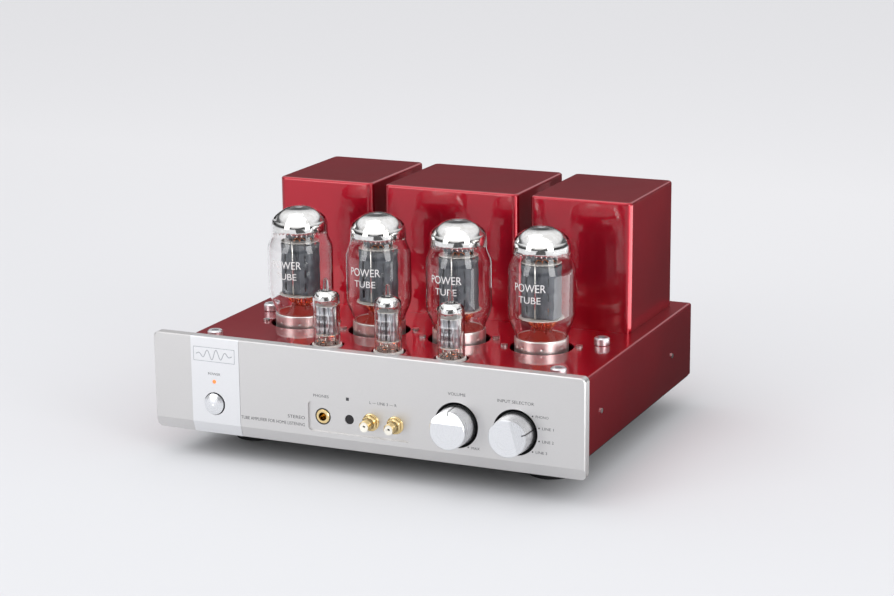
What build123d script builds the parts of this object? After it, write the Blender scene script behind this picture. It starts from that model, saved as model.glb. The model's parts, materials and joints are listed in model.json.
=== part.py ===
from build123d import *
from math import cos, radians, sin
import os

# A tube amplifier: a steel chassis behind an aluminium front panel, with three transformer covers,
# four power tubes and three small tubes on its deck.
# Millimetres. X is to the right seen from the front, Y to the back, Z up.
# The origin is on the table, under the middle of the whole amplifier.

# ---- driving dimensions
WIDTH = 345.0  # front panel, side to side
DEPTH = 320.0  # knob faces to the ends of the speaker terminals
HEIGHT = 185.0  # table to the tops of the transformer covers
CLEAR = 0.05  # running clearance of a shaft, pin or stem, on the radius

# ---- front panel
KNOB_REACH = 17.0  # the knobs stand this far in front of the panel
PANEL_FACE = -DEPTH / 2 + KNOB_REACH
PANEL_THICK = 8.0
PANEL_BACK = PANEL_FACE + PANEL_THICK
PANEL_LOW = 19.7
PANEL_HIGH = 94.2
PANEL_CORNER = 4.0
PANEL_CHAMFER = 0.7
BEVEL_RISE = 8.5  # the lower edge slopes back
BEVEL_RUN = 3.0

BADGE_LEFT = -140.5
BADGE_WIDTH = 40.5
BADGE_SINK = 4.0  # depth of the slot that holds the badge plate
BADGE_PROUD = 0.25
BADGE_GAP = 0.1

POCKET_X = -2.0
POCKET_Z = 43.2
POCKET_WIDTH = 83.0
POCKET_HEIGHT = 22.3
POCKET_CORNER = 3.0
POCKET_DEPTH = 1.6
POCKET_FLOOR = PANEL_FACE + POCKET_DEPTH

# ---- chassis
SHEET = 2.0
CHASSIS_WIDTH = 322.6
CHASSIS_LOW = 26.0
DECK = 84.4
CHASSIS_FRONT = PANEL_BACK
CHASSIS_BACK = PANEL_FACE + 271.4
CHASSIS_EDGE = 2.0
CHASSIS_DEPTH = CHASSIS_BACK - CHASSIS_FRONT
CHASSIS_MID = (CHASSIS_FRONT + CHASSIS_BACK) / 2
CEILING = DECK - SHEET  # underside of the deck
WALL_INSIDE = CHASSIS_FRONT + SHEET  # inner face of the front wall
WALL_WIDTH = CHASSIS_WIDTH - 2 * SHEET  # the front wall and the rear panel stand between the side walls
WALL_HEIGHT = CEILING - CHASSIS_LOW
WALL_MID = (CEILING + CHASSIS_LOW) / 2
BOTTOM_THICK = 1.5
BOTTOM_LOW = CHASSIS_LOW - BOTTOM_THICK

# ---- transformer covers and transformers
COVER_FRONT = PANEL_FACE + 160.1
COVER_DEPTH = 99.0
COVER_MID = COVER_FRONT + COVER_DEPTH / 2
COVER_SHEET = 1.5
COVER_UPRIGHT_EDGE = 4.6
COVER_TOP_EDGE = 2.0
CENTER_COVER_WIDTH = 112.6
SIDE_COVER_WIDTH = 81.6
SIDE_COVER_X = 107.5
WIRE_HOLE_R = 10.0
# each transformer's place, its core's width and height, its stack and its middle leg
TRANSFORMERS = [
    (-SIDE_COVER_X, 66.0, 56.0, 46.0, 22.0),
    (0.0, 96.0, 80.0, 50.0, 32.0),
    (SIDE_COVER_X, 66.0, 56.0, 46.0, 22.0),
]

# ---- power tubes
POWER_TUBE_Y = PANEL_FACE + 101.0
POWER_TUBE_X = [-100.0, -33.3, 33.3, 100.0]
POWER_HOLE_R = 24.0
POWER_TOP = 176.2
POWER_DOME_R = 21.5
POWER_BODY_R = 25.1
POWER_NECK_R = 19.4
POWER_GLASS = 1.2
POWER_BASE_R = 20.2
POWER_BASE_TOP = DECK + 8.6
POWER_BASE_LOW = 74.0
OCTAL_PIN_RING = 8.75
OCTAL_PIN_R = 1.2
OCTAL_PIN_LENGTH = 11.0
OCTAL_SPIGOT_R = 4.0
OCTAL_SPIGOT_LENGTH = 13.0
SOCKET_SCREW_RING = 27.8
SOCKET_SCREW_TURN = 18.0

# ---- small tubes
SMALL_TUBE_Y = PANEL_FACE + 47.0
SMALL_TUBE_X = [-50.7, 0.0, 50.7]
SMALL_HOLE_R = 13.0
SMALL_SEAT = DECK + 1.0
SMALL_GLASS_R = 10.1
SMALL_GLASS = 0.9
SMALL_SHOULDER = 120.5
SMALL_NECK = 126.8
SMALL_TOP = 135.8
SMALL_TIP_R = 1.7
NOVAL_PIN_RING = 5.95
NOVAL_PIN_R = 0.5
NOVAL_PIN_LENGTH = 7.0
NOVAL_POSITIONS = 10  # nine pins and one gap

# ---- circuit board under the small tubes
BOARD_TOP = 68.0
BOARD_THICK = 1.6
BOARD_WIDTH = 190.0
BOARD_DEPTH = 64.0
BOARD_Y = WALL_INSIDE + 6.0 + BOARD_DEPTH / 2
STANDOFF_R = 3.0

# ---- cage posts, feet
CAGE_POST_X = 139.2
CAGE_POST_Y = [PANEL_FACE + 34.6, PANEL_FACE + 123.8]
CAGE_POST_R = 5.85
CAGE_POST_HEIGHT = 5.8
CAGE_HOLE_R = 2.5
CAGE_HOLE_DEPTH = 5.0
FRONT_FOOT = (122.0, PANEL_FACE + 66.0)
BACK_FOOT = (98.0, CHASSIS_BACK - 42.0)  # set further in than the front pair
FOOT_R = 20.0
FOOT_LOW = 3.0
PAD_R = 17.0

# ---- controls
BUTTON_X = -121.5
BUTTON_Z = 43.4
BUTTON_R = 8.0
BUTTON_HOLE_R = 8.7
BUTTON_STEM_R = 2.5
BUTTON_TRAVEL = 3.0
LED_X = -121.3
LED_Z = 60.4
LED_R = 1.5
VOLUME_X = 75.0
SELECTOR_X = 120.2
KNOB_Z = 49.6
KNOB_BASE_R = 14.8
KNOB_FACE_R = 13.6
KNOB_BACK = PANEL_FACE + 2.2  # the skirt sits inside the round recess
KNOB_RECESS_R = 16.9
KNOB_RECESS_DEPTH = 3.5
SELECTOR_TURN = 75.0  # degrees clockwise from the top, seen from the front
SHAFT_R = 3.0
SHAFT_END = -DEPTH / 2 + 6.0
BUSH_R = 4.6

# ---- connectors
PHONES_X = -32.0
SENSOR_X = -10.5
FRONT_JACK_X = [6.8, 26.3]
FRONT_ROW_Z = 43.4
PHONES_HOLE_R = 6.3
PHONES_BUSH_R = 5.3
PHONES_BORE_R = 3.2
PHONES_BORE_LENGTH = 22.0
SENSOR_R = 3.5
JACK_BARREL_R = 4.15
JACK_THREAD_R = 3.8
JACK_NUT_R = 5.9
JACK_NUT = 2.6
JACK_REACH = 12.0
JACK_TAIL = 12.0
JACK_INSULATOR_R = 3.3
JACK_CONTACT_R = 1.6
REAR_JACK_X = [88.0, 108.0, 128.0]
REAR_JACK_Z = [43.0, 63.0]
SPEAKER_X = [-50.0, -31.0, -12.0, 12.0, 31.0, 50.0]
SPEAKER_Z = 52.0
SPEAKER_WASHER = 5.3
SPEAKER_WASHER_R = 7.6
SPEAKER_POST_R = 3.0
SPEAKER_BORE_R = 2.0
SPEAKER_BORE_LENGTH = 18.0
SPEAKER_CAP_R = 7.2
SPEAKER_CAP_GAP = 0.3
INLET_X = -116.0
INLET_Z = 52.0
INLET_WIDTH = 27.4
INLET_HEIGHT = 20.0
INLET_FLANGE_WIDTH = 50.0
INLET_SCREW_SPACING = 40.0
GROUND_SCREW_X = 148.0

# ---- screws
SCREW_R = 1.5
SCREW_HOLE_R = 1.6
SCREW_HEAD_R = 2.6
SCREW_HEAD = 1.7
LOW_HEAD_R = 1.9  # the small screws in the chassis sides
LOW_HEAD = 0.9
SIDE_SCREW_Y = [PANEL_FACE + 62.3, PANEL_FACE + 222.1]
SIDE_SCREW_Z = 53.0

ROTATION_AXIS_Y = (0, 1, 0)
ROTATION_AXIS_Z = (0, 0, 1)


def save(piece, name):
    """Label a finished piece and write it to its own file."""
    piece.label = name
    export_step(piece, f"parts/{name}.step")


def front_plane(y, x=0.0, z=0.0):
    """A plane that faces forwards: its own x is X, its own y is Z."""
    return Plane(origin=(x, y, z), x_dir=(1, 0, 0), z_dir=(0, -1, 0))


def back_plane(y, x=0.0, z=0.0):
    """A plane that faces backwards, with its own y along Z."""
    return Plane(origin=(x, y, z), x_dir=(-1, 0, 0), z_dir=(0, 1, 0))


def side_plane(x, y, z):
    """A plane on the side of the chassis that faces outwards."""
    side = 1 if x > 0 else -1
    return Plane(origin=(x, y, z), x_dir=(0, side, 0), z_dir=(side, 0, 0))


def circle_point(centre, radius, degrees):
    return (centre[0] + radius * cos(radians(degrees)), centre[1] + radius * sin(radians(degrees)))


def socket_screw_points():
    """Where the screws that hold the power tube sockets go through the deck."""
    points = []
    for x in POWER_TUBE_X:
        for side in (0.0, 180.0):
            points.append(circle_point((x, POWER_TUBE_Y), SOCKET_SCREW_RING, SOCKET_SCREW_TURN + side))
    return points


def standoff_points():
    """Corners of the circuit board, where it hangs from the deck."""
    across = BOARD_WIDTH / 2 - 6.0
    along = BOARD_DEPTH / 2 - 6.0
    return [(side * across, BOARD_Y + end * along) for side in (-1, 1) for end in (-1, 1)]


def bottom_screw_points():
    """Screws along both long edges of the bottom cover."""
    rim = CHASSIS_WIDTH / 2 - 12.0
    reach = CHASSIS_DEPTH / 2 - 20.0
    return [(side * rim, CHASSIS_MID + end * reach) for side in (-1, 1) for end in (-1, 0, 1)]


def foot_points():
    return [(side * x, y) for side in (-1, 1) for x, y in (FRONT_FOOT, BACK_FOOT)]


# ---------------------------------------------------------------- chassis
def make_chassis_shell():
    """Steel deck folded down into two side walls, with the tube holes in the deck."""
    with BuildPart() as shell:
        with BuildSketch(Plane.XY.offset(CHASSIS_LOW)):
            with Locations((0, CHASSIS_MID)):
                Rectangle(CHASSIS_WIDTH, CHASSIS_DEPTH)
        extrude(amount=DECK - CHASSIS_LOW)
        fillet(shell.edges().filter_by(Axis.Z), radius=CHASSIS_EDGE)
        fillet(shell.faces().sort_by(Axis.Z)[-1].edges(), radius=CHASSIS_EDGE)
        with BuildSketch(Plane.XY.offset(CHASSIS_LOW)):
            with Locations((0, CHASSIS_MID)):
                Rectangle(WALL_WIDTH, CHASSIS_DEPTH)
        extrude(amount=CEILING - CHASSIS_LOW, mode=Mode.SUBTRACT)
        # flanges that the bottom cover is screwed to
        flange_x = WALL_WIDTH / 2 - 8.0
        with BuildSketch(Plane.XY.offset(CHASSIS_LOW)):
            with Locations((-flange_x, CHASSIS_MID), (flange_x, CHASSIS_MID)):
                Rectangle(16.0, CHASSIS_DEPTH - 2 * SHEET)
            with Locations(*bottom_screw_points()):
                Circle(SCREW_HOLE_R, mode=Mode.SUBTRACT)
        extrude(amount=SHEET)
        # holes in the deck: tubes, socket screws, board standoffs and transformer wires
        with BuildSketch(Plane.XY.offset(DECK)):
            with Locations(*[(x, POWER_TUBE_Y) for x in POWER_TUBE_X]):
                Circle(POWER_HOLE_R)
            with Locations(*[(x, SMALL_TUBE_Y) for x in SMALL_TUBE_X]):
                Circle(SMALL_HOLE_R)
            with Locations(*socket_screw_points()):
                Circle(SCREW_HOLE_R)
            with Locations(*[(x, COVER_MID) for x in (-SIDE_COVER_X, 0, SIDE_COVER_X)]):
                Circle(WIRE_HOLE_R)
        extrude(amount=-SHEET, mode=Mode.SUBTRACT)
        for side in (-1, 1):
            for y in SIDE_SCREW_Y:
                with BuildSketch(side_plane(side * CHASSIS_WIDTH / 2, y, SIDE_SCREW_Z)):
                    Circle(SCREW_HOLE_R)
                extrude(amount=-SHEET, mode=Mode.SUBTRACT)
    return shell.part


def make_front_wall():
    """Steel plate between the side walls, behind the front panel, open behind the jack pocket."""
    with BuildPart() as wall:
        with BuildSketch(front_plane(CHASSIS_FRONT)):
            with Locations((0, WALL_MID)):
                Rectangle(WALL_WIDTH, WALL_HEIGHT)
            with Locations((POCKET_X, POCKET_Z)):
                Rectangle(POCKET_WIDTH, POCKET_HEIGHT - 4.0, mode=Mode.SUBTRACT)
            with Locations((VOLUME_X, KNOB_Z), (SELECTOR_X, KNOB_Z)):
                Circle(BUSH_R + 0.2, mode=Mode.SUBTRACT)
            with Locations((BUTTON_X, BUTTON_Z)):
                Circle(BUTTON_HOLE_R, mode=Mode.SUBTRACT)
            with Locations((LED_X, LED_Z)):
                Circle(LED_R + 0.2, mode=Mode.SUBTRACT)
        extrude(amount=-SHEET)
    return wall.part


def make_rear_panel():
    """Steel plate let in flush between the side walls, with the holes for the rear connectors."""
    with BuildPart() as wall:
        with BuildSketch(back_plane(CHASSIS_BACK)):
            with Locations((0, WALL_MID)):
                Rectangle(WALL_WIDTH, WALL_HEIGHT)
            with Locations((-INLET_X, INLET_Z)):
                Rectangle(INLET_WIDTH + 0.4, INLET_HEIGHT + 0.4, mode=Mode.SUBTRACT)
            with Locations(*[(-INLET_X + side * INLET_SCREW_SPACING / 2, INLET_Z) for side in (-1, 1)]):
                Circle(SCREW_HOLE_R, mode=Mode.SUBTRACT)
            with Locations(*[(-x, z) for x in REAR_JACK_X for z in REAR_JACK_Z]):
                Circle(JACK_THREAD_R + 0.2, mode=Mode.SUBTRACT)
            with Locations(*[(-x, SPEAKER_Z) for x in SPEAKER_X]):
                Circle(SPEAKER_POST_R + 0.5, mode=Mode.SUBTRACT)
            with Locations((-GROUND_SCREW_X, SPEAKER_Z)):
                Circle(SCREW_HOLE_R, mode=Mode.SUBTRACT)
        extrude(amount=-SHEET)
    return wall.part


def make_bottom_cover():
    """Flat plate under the chassis, with cooling slots."""
    slot_length = 60.0
    slot_width = 3.0
    slot_pitch = 8.0
    with BuildPart() as cover:
        with BuildSketch(Plane.XY.offset(BOTTOM_LOW)):
            with Locations((0, CHASSIS_MID)):
                RectangleRounded(CHASSIS_WIDTH - 2.0, CHASSIS_DEPTH - 2.0, 3.0)
                with GridLocations(90.0, slot_pitch, 2, 9):
                    SlotOverall(slot_length, slot_width, mode=Mode.SUBTRACT)
            with Locations(*bottom_screw_points()):
                Circle(SCREW_HOLE_R, mode=Mode.SUBTRACT)
        extrude(amount=BOTTOM_THICK)
    return cover.part


def make_transformer_cover(x, width):
    """Deep-drawn steel can over one transformer, open below."""
    with BuildPart() as cover:
        with BuildSketch(Plane.XY.offset(DECK)):
            with Locations((x, COVER_MID)):
                Rectangle(width, COVER_DEPTH)
        extrude(amount=HEIGHT - DECK)
        fillet(cover.edges().filter_by(Axis.Z), radius=COVER_UPRIGHT_EDGE)
        fillet(cover.faces().sort_by(Axis.Z)[-1].edges(), radius=COVER_TOP_EDGE)
        with BuildSketch(Plane.XY.offset(DECK)):
            with Locations((x, COVER_MID)):
                RectangleRounded(width - 2 * COVER_SHEET, COVER_DEPTH - 2 * COVER_SHEET, 3.0)
        extrude(amount=HEIGHT - DECK - COVER_SHEET, mode=Mode.SUBTRACT)
    return cover.part


def make_transformer_cores():
    """Stacks of laminations with a winding window on each side of the middle leg."""
    with BuildPart() as cores:
        for x, width, height, stack, leg in TRANSFORMERS:
            with BuildSketch(front_plane(COVER_MID + stack / 2, x)):
                with Locations((0, DECK + height / 2)):
                    Rectangle(width, height)
                    with Locations((-width / 4, 0), (width / 4, 0)):
                        Rectangle(width / 2 - leg, height - leg, mode=Mode.SUBTRACT)
            extrude(amount=stack)
    return cores.part


def make_transformer_windings():
    """Copper windings on their bobbins, round the middle leg of each core."""
    overhang = 13.0
    slack = 0.3
    with BuildPart() as windings:
        for x, width, height, stack, leg in TRANSFORMERS:
            with BuildSketch(Plane.XY.offset(DECK + leg / 2 + slack)):
                with Locations((x, COVER_MID)):
                    RectangleRounded(width - leg - 2 * slack, stack + 2 * overhang, 8.0)
                    Rectangle(leg + 2 * slack, stack + 2 * slack, mode=Mode.SUBTRACT)
            extrude(amount=height - leg - 2 * slack)
    return windings.part


def make_cage_posts():
    """Sockets on the deck that take the pins of a tube cage."""
    rim = 0.9
    base_rim = 0.4
    with BuildPart() as posts:
        with BuildSketch(Plane.XY.offset(DECK)):
            with Locations(*[(side * CAGE_POST_X, y) for side in (-1, 1) for y in CAGE_POST_Y]):
                Circle(CAGE_POST_R)
        extrude(amount=CAGE_POST_HEIGHT)
        chamfer(posts.edges().group_by(Axis.Z)[-1], length=rim)
        chamfer(posts.edges().group_by(Axis.Z)[0], length=base_rim)
        with BuildSketch(Plane.XY.offset(DECK + CAGE_POST_HEIGHT)):
            with Locations(*[(side * CAGE_POST_X, y) for side in (-1, 1) for y in CAGE_POST_Y]):
                Circle(CAGE_HOLE_R)
        extrude(amount=-CAGE_HOLE_DEPTH, mode=Mode.SUBTRACT)
    return posts.part


def make_feet():
    """Turned feet under the bottom cover, hollow below where the pads sit."""
    with BuildPart() as feet:
        with BuildSketch(Plane.XY.offset(FOOT_LOW)):
            with Locations(*foot_points()):
                Circle(FOOT_R)
        extrude(amount=BOTTOM_LOW - FOOT_LOW)
        fillet(feet.edges().group_by(Axis.Z)[0], radius=2.0)
    return feet.part


def make_foot_pads():
    with BuildPart() as pads:
        with BuildSketch():
            with Locations(*foot_points()):
                Circle(PAD_R)
        extrude(amount=FOOT_LOW)
        fillet(pads.edges().group_by(Axis.Z)[0], radius=0.8)
    return pads.part


# ---------------------------------------------------------------- front panel
def cut_bevel(front):
    """Outline, in Y and Z, of what the sloping lower edge takes away from a plate that starts at front."""
    slope = BEVEL_RUN / BEVEL_RISE
    with BuildSketch(Plane.YZ.offset(-WIDTH / 2)) as bevel:
        with BuildLine():
            Polyline(
                (front, PANEL_LOW + BEVEL_RISE),
                (front + slope * (BEVEL_RISE + 1.0), PANEL_LOW - 1.0),
                (front - 1.0, PANEL_LOW - 1.0),
                (front - 1.0, PANEL_LOW + BEVEL_RISE),
                close=True,
            )
        make_face()
    return bevel.sketch


def make_front_panel():
    """Thick aluminium plate with a round recess behind each knob and a pocket for the connectors."""
    with BuildPart() as panel:
        with BuildSketch(front_plane(PANEL_BACK)):
            with Locations((0, (PANEL_LOW + PANEL_HIGH) / 2)):
                RectangleRounded(WIDTH, PANEL_HIGH - PANEL_LOW, PANEL_CORNER)
        extrude(amount=PANEL_THICK)
        chamfer(panel.faces().sort_by(Axis.Y)[0].edges(), length=PANEL_CHAMFER)
        extrude(cut_bevel(PANEL_FACE), amount=WIDTH, mode=Mode.SUBTRACT)
        # slot for the badge plate
        with BuildSketch(front_plane(PANEL_FACE - 1.0)):
            with Locations((BADGE_LEFT + BADGE_WIDTH / 2, (PANEL_LOW + PANEL_HIGH) / 2)):
                Rectangle(BADGE_WIDTH + 2 * BADGE_GAP, PANEL_HIGH - PANEL_LOW + 2.0)
        extrude(amount=-(1.0 + BADGE_SINK), mode=Mode.SUBTRACT)
        # connector pocket
        with BuildSketch(front_plane(PANEL_FACE)):
            with Locations((POCKET_X, POCKET_Z)):
                RectangleRounded(POCKET_WIDTH, POCKET_HEIGHT, POCKET_CORNER)
        extrude(amount=-POCKET_DEPTH, mode=Mode.SUBTRACT)
        # knob recesses
        with BuildSketch(front_plane(PANEL_FACE)):
            with Locations((VOLUME_X, KNOB_Z), (SELECTOR_X, KNOB_Z)):
                Circle(KNOB_RECESS_R)
        extrude(amount=-KNOB_RECESS_DEPTH, mode=Mode.SUBTRACT)
        # through holes
        with BuildSketch(front_plane(PANEL_FACE)):
            with Locations((VOLUME_X, KNOB_Z), (SELECTOR_X, KNOB_Z)):
                Circle(BUSH_R + 0.1)
            with Locations((BUTTON_X, BUTTON_Z)):
                Circle(BUTTON_HOLE_R)
            with Locations((LED_X, LED_Z)):
                Circle(LED_R + 0.05)
            with Locations((PHONES_X, FRONT_ROW_Z)):
                Circle(PHONES_HOLE_R)
            with Locations((SENSOR_X, FRONT_ROW_Z)):
                Circle(SENSOR_R + 0.1)
            with Locations(*[(x, FRONT_ROW_Z - 0.8) for x in FRONT_JACK_X]):
                Circle(JACK_THREAD_R + 0.1)
        extrude(amount=-PANEL_THICK, mode=Mode.SUBTRACT)
    return panel.part


def make_badge_plate():
    """Polished upright plate let into the front panel, round the power button."""
    front = PANEL_FACE - BADGE_PROUD
    with BuildPart() as badge:
        with BuildSketch(front_plane(PANEL_FACE + BADGE_SINK)):
            with Locations((BADGE_LEFT + BADGE_WIDTH / 2, (PANEL_LOW + PANEL_HIGH) / 2)):
                Rectangle(BADGE_WIDTH, PANEL_HIGH - PANEL_LOW)
        extrude(amount=BADGE_SINK + BADGE_PROUD)
        chamfer(badge.faces().sort_by(Axis.Y)[0].edges().sort_by(Axis.Z)[-1], length=PANEL_CHAMFER)
        extrude(cut_bevel(front), amount=WIDTH, mode=Mode.SUBTRACT)
        with BuildSketch(front_plane(front)):
            with Locations((BUTTON_X, BUTTON_Z)):
                Circle(BUTTON_HOLE_R)
            with Locations((LED_X, LED_Z)):
                Circle(LED_R + 0.05)
        extrude(amount=-(BADGE_SINK + BADGE_PROUD), mode=Mode.SUBTRACT)
    return badge.part


def make_power_button():
    """Domed cap on a stem that runs into the mains switch."""
    crown = PANEL_FACE - 3.0
    edge = PANEL_FACE - 1.6
    cap_back = PANEL_FACE + 3.6
    stem_end = WALL_INSIDE + 10.0
    with BuildPart() as button:
        with BuildSketch(Plane.XY.offset(BUTTON_Z)):
            with BuildLine():
                Polyline(
                    (BUTTON_X, crown),
                    (BUTTON_X, stem_end),
                    (BUTTON_X + BUTTON_STEM_R, stem_end),
                    (BUTTON_X + BUTTON_STEM_R, cap_back),
                    (BUTTON_X + BUTTON_R, cap_back),
                    (BUTTON_X + BUTTON_R, edge),
                )
                TangentArc((BUTTON_X, crown), (BUTTON_X + BUTTON_R, edge), tangent=(1, 0))
            make_face()
        revolve(axis=Axis((BUTTON_X, 0, BUTTON_Z), ROTATION_AXIS_Y))
    return button.part


def make_power_switch():
    """Mains switch body inside the front wall, with a bore for the button's stem."""
    with BuildPart() as switch:
        with BuildSketch(front_plane(WALL_INSIDE, BUTTON_X, BUTTON_Z)):
            Rectangle(22.0, 18.0)
        extrude(amount=-26.0)
        with BuildSketch(front_plane(WALL_INSIDE, BUTTON_X, BUTTON_Z)):
            Circle(BUTTON_STEM_R + CLEAR)
        extrude(amount=-(10.0 + BUTTON_TRAVEL + 1.0), mode=Mode.SUBTRACT)
    return switch.part


def make_power_led():
    """Lamp with a round lens that ends level with the badge plate."""
    lens = PANEL_FACE - BADGE_PROUD
    with BuildPart() as led:
        with BuildSketch(front_plane(WALL_INSIDE + 4.0, LED_X, LED_Z)):
            Circle(LED_R)
        extrude(amount=WALL_INSIDE + 4.0 - lens)
        fillet(led.edges().sort_by(Axis.Y)[0], radius=0.5)
        with BuildSketch(front_plane(WALL_INSIDE, LED_X, LED_Z)):
            Circle(LED_R + 1.0)
        extrude(amount=-4.0)
    return led.part


# ---------------------------------------------------------------- knobs
def pointer_plane(x, y, turn):
    """A plane behind a knob, facing forwards, whose own y is the way the pointer points."""
    angle = radians(turn)
    return Plane(origin=(x, y, KNOB_Z), x_dir=(cos(angle), 0, -sin(angle)), z_dir=(0, -1, 0))


def make_knob(x, turn):
    """Tapered knob with a flat sloping away on its pointer side and a groove as the pointer."""
    length = KNOB_BACK + DEPTH / 2
    flat_start = 5.3
    flat_drop = 2.8
    groove_start = 11.0
    groove_width = 0.9
    groove_depth = 0.55
    hollow_r = 9.0
    hollow_depth = 4.2
    shoulder = 0.5
    seat = pointer_plane(x, KNOB_BACK, turn)
    cross = Plane(origin=seat.origin, x_dir=seat.y_dir, z_dir=seat.x_dir)
    taper = (KNOB_BASE_R - KNOB_FACE_R) / length
    with BuildPart() as knob:
        with BuildSketch(cross):
            with BuildLine():
                Polyline(
                    (0, 0),
                    (KNOB_BASE_R, 0),
                    (KNOB_FACE_R + taper * shoulder, length - shoulder),
                    (KNOB_FACE_R - shoulder, length),
                    (0, length),
                    close=True,
                )
            make_face()
        revolve(axis=Axis(seat.origin, seat.z_dir))
        # the sloping flat
        slope = flat_drop / (KNOB_FACE_R - flat_start)
        past = KNOB_BASE_R - flat_start
        with BuildSketch(cross):
            with BuildLine():
                Polyline(
                    (flat_start, length),
                    (KNOB_BASE_R, length - slope * past),
                    (KNOB_BASE_R, length + 1.0),
                    (flat_start, length + 1.0),
                    close=True,
                )
            make_face()
        extrude(amount=KNOB_BASE_R, both=True, mode=Mode.SUBTRACT)
        # pointer groove, on the flat and then down the side
        flat_at_groove = length - slope * (groove_start - flat_start)
        rim = length - flat_drop
        with BuildSketch(cross):
            with BuildLine():
                Polyline(
                    (groove_start, flat_at_groove - groove_depth),
                    (KNOB_FACE_R - groove_depth, rim - groove_depth),
                    (KNOB_BASE_R - groove_depth, 0),
                    (KNOB_BASE_R + 1.0, 0),
                    (KNOB_BASE_R + 1.0, length),
                    (groove_start, length),
                    close=True,
                )
            make_face()
        extrude(amount=groove_width / 2, both=True, mode=Mode.SUBTRACT)
        # hollow over the bush nut, and the bore for the shaft
        with BuildSketch(seat):
            Circle(hollow_r)
        extrude(amount=hollow_depth, mode=Mode.SUBTRACT)
        with BuildSketch(seat):
            Circle(SHAFT_R)
        extrude(amount=KNOB_BACK - SHAFT_END, mode=Mode.SUBTRACT)
    return knob.part


def make_control_shaft(x):
    with BuildPart() as shaft:
        with BuildSketch(front_plane(SHAFT_END, x, KNOB_Z)):
            Circle(SHAFT_R)
        extrude(amount=SHAFT_END - (WALL_INSIDE + 12.0))
    return shaft.part


def make_control_body(x, body_r, sections):
    """Body of a rotary control behind the front wall, with its threaded bush, its nut and a bore."""
    nut_face = PANEL_FACE + KNOB_RECESS_DEPTH
    bush_length = 4.0
    with BuildPart() as body:
        with BuildSketch(front_plane(WALL_INSIDE, x, KNOB_Z)):
            Circle(BUSH_R)
        extrude(amount=WALL_INSIDE - nut_face + bush_length)
        with BuildSketch(front_plane(nut_face, x, KNOB_Z)):
            RegularPolygon(radius=6.8, side_count=6)
        extrude(amount=2.0)
        start = WALL_INSIDE
        for radius, length in sections:
            with BuildSketch(front_plane(start, x, KNOB_Z)):
                Circle(radius)
            extrude(amount=-length)
            start += length
        with BuildSketch(front_plane(nut_face - bush_length, x, KNOB_Z)):
            Circle(SHAFT_R + CLEAR)
        extrude(amount=-(bush_length + WALL_INSIDE - nut_face + 13.0), mode=Mode.SUBTRACT)
    return body.part


# ---------------------------------------------------------------- connectors
def make_headphone_jack():
    """Stereo jack: a bush in the pocket and a body inside the front wall."""
    mouth = POCKET_FLOOR - 0.8
    with BuildPart() as jack:
        with BuildSketch(front_plane(WALL_INSIDE, PHONES_X, FRONT_ROW_Z)):
            Circle(PHONES_BUSH_R)
        extrude(amount=WALL_INSIDE - mouth)
        chamfer(jack.edges().sort_by(Axis.Y)[0], length=0.5)
        with BuildSketch(front_plane(WALL_INSIDE, PHONES_X, FRONT_ROW_Z)):
            Rectangle(20.0, 17.0)
        extrude(amount=-24.0)
        with BuildSketch(front_plane(mouth, PHONES_X, FRONT_ROW_Z)):
            Circle(PHONES_BORE_R)
        extrude(amount=-PHONES_BORE_LENGTH, mode=Mode.SUBTRACT)
    return jack.part


def make_remote_sensor():
    with BuildPart() as sensor:
        with BuildSketch(front_plane(POCKET_FLOOR + 0.3, SENSOR_X, FRONT_ROW_Z)):
            Circle(SENSOR_R)
        extrude(amount=-(WALL_INSIDE - POCKET_FLOOR - 0.3))
        with BuildSketch(front_plane(WALL_INSIDE, SENSOR_X, FRONT_ROW_Z)):
            Rectangle(9.0, 10.0)
        extrude(amount=-5.0)
    return sensor.part


def front_jack_seats():
    return [front_plane(POCKET_FLOOR, x, FRONT_ROW_Z - 0.8) for x in FRONT_JACK_X]


def rear_jack_seats():
    return [back_plane(CHASSIS_BACK, x, z) for x in REAR_JACK_X for z in REAR_JACK_Z]


def make_phono_jacks(seats):
    """Gold phono jacks: nut, threaded collar, barrel and a tail behind the wall."""
    with BuildPart() as jacks:
        for seat in seats:
            with BuildSketch(seat):
                RegularPolygon(radius=JACK_NUT_R, side_count=6)
            extrude(amount=JACK_NUT)
            with BuildSketch(seat):
                Circle(JACK_BARREL_R)
            extrude(amount=JACK_REACH)
            with BuildSketch(seat.offset(JACK_NUT)):
                Circle(JACK_BARREL_R + 0.7)
            extrude(amount=1.0)
            with BuildSketch(seat):
                Circle(JACK_THREAD_R)
            extrude(amount=-JACK_TAIL)
            with BuildSketch(seat.offset(JACK_REACH)):
                Circle(JACK_INSULATOR_R)
            extrude(amount=-JACK_REACH, mode=Mode.SUBTRACT)
    return jacks.part


def make_jack_insulators(seats):
    """Ivory insulators with the hole for the centre pin."""
    with BuildPart() as insulators:
        for seat in seats:
            with BuildSketch(seat.offset(JACK_REACH)):
                Circle(JACK_INSULATOR_R)
                Circle(JACK_CONTACT_R, mode=Mode.SUBTRACT)
            extrude(amount=-(JACK_REACH - 1.0))
            with BuildSketch(seat):
                Circle(JACK_INSULATOR_R)
            extrude(amount=1.0)
    return insulators.part


def speaker_seats():
    return [back_plane(CHASSIS_BACK, x, SPEAKER_Z) for x in SPEAKER_X]


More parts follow.
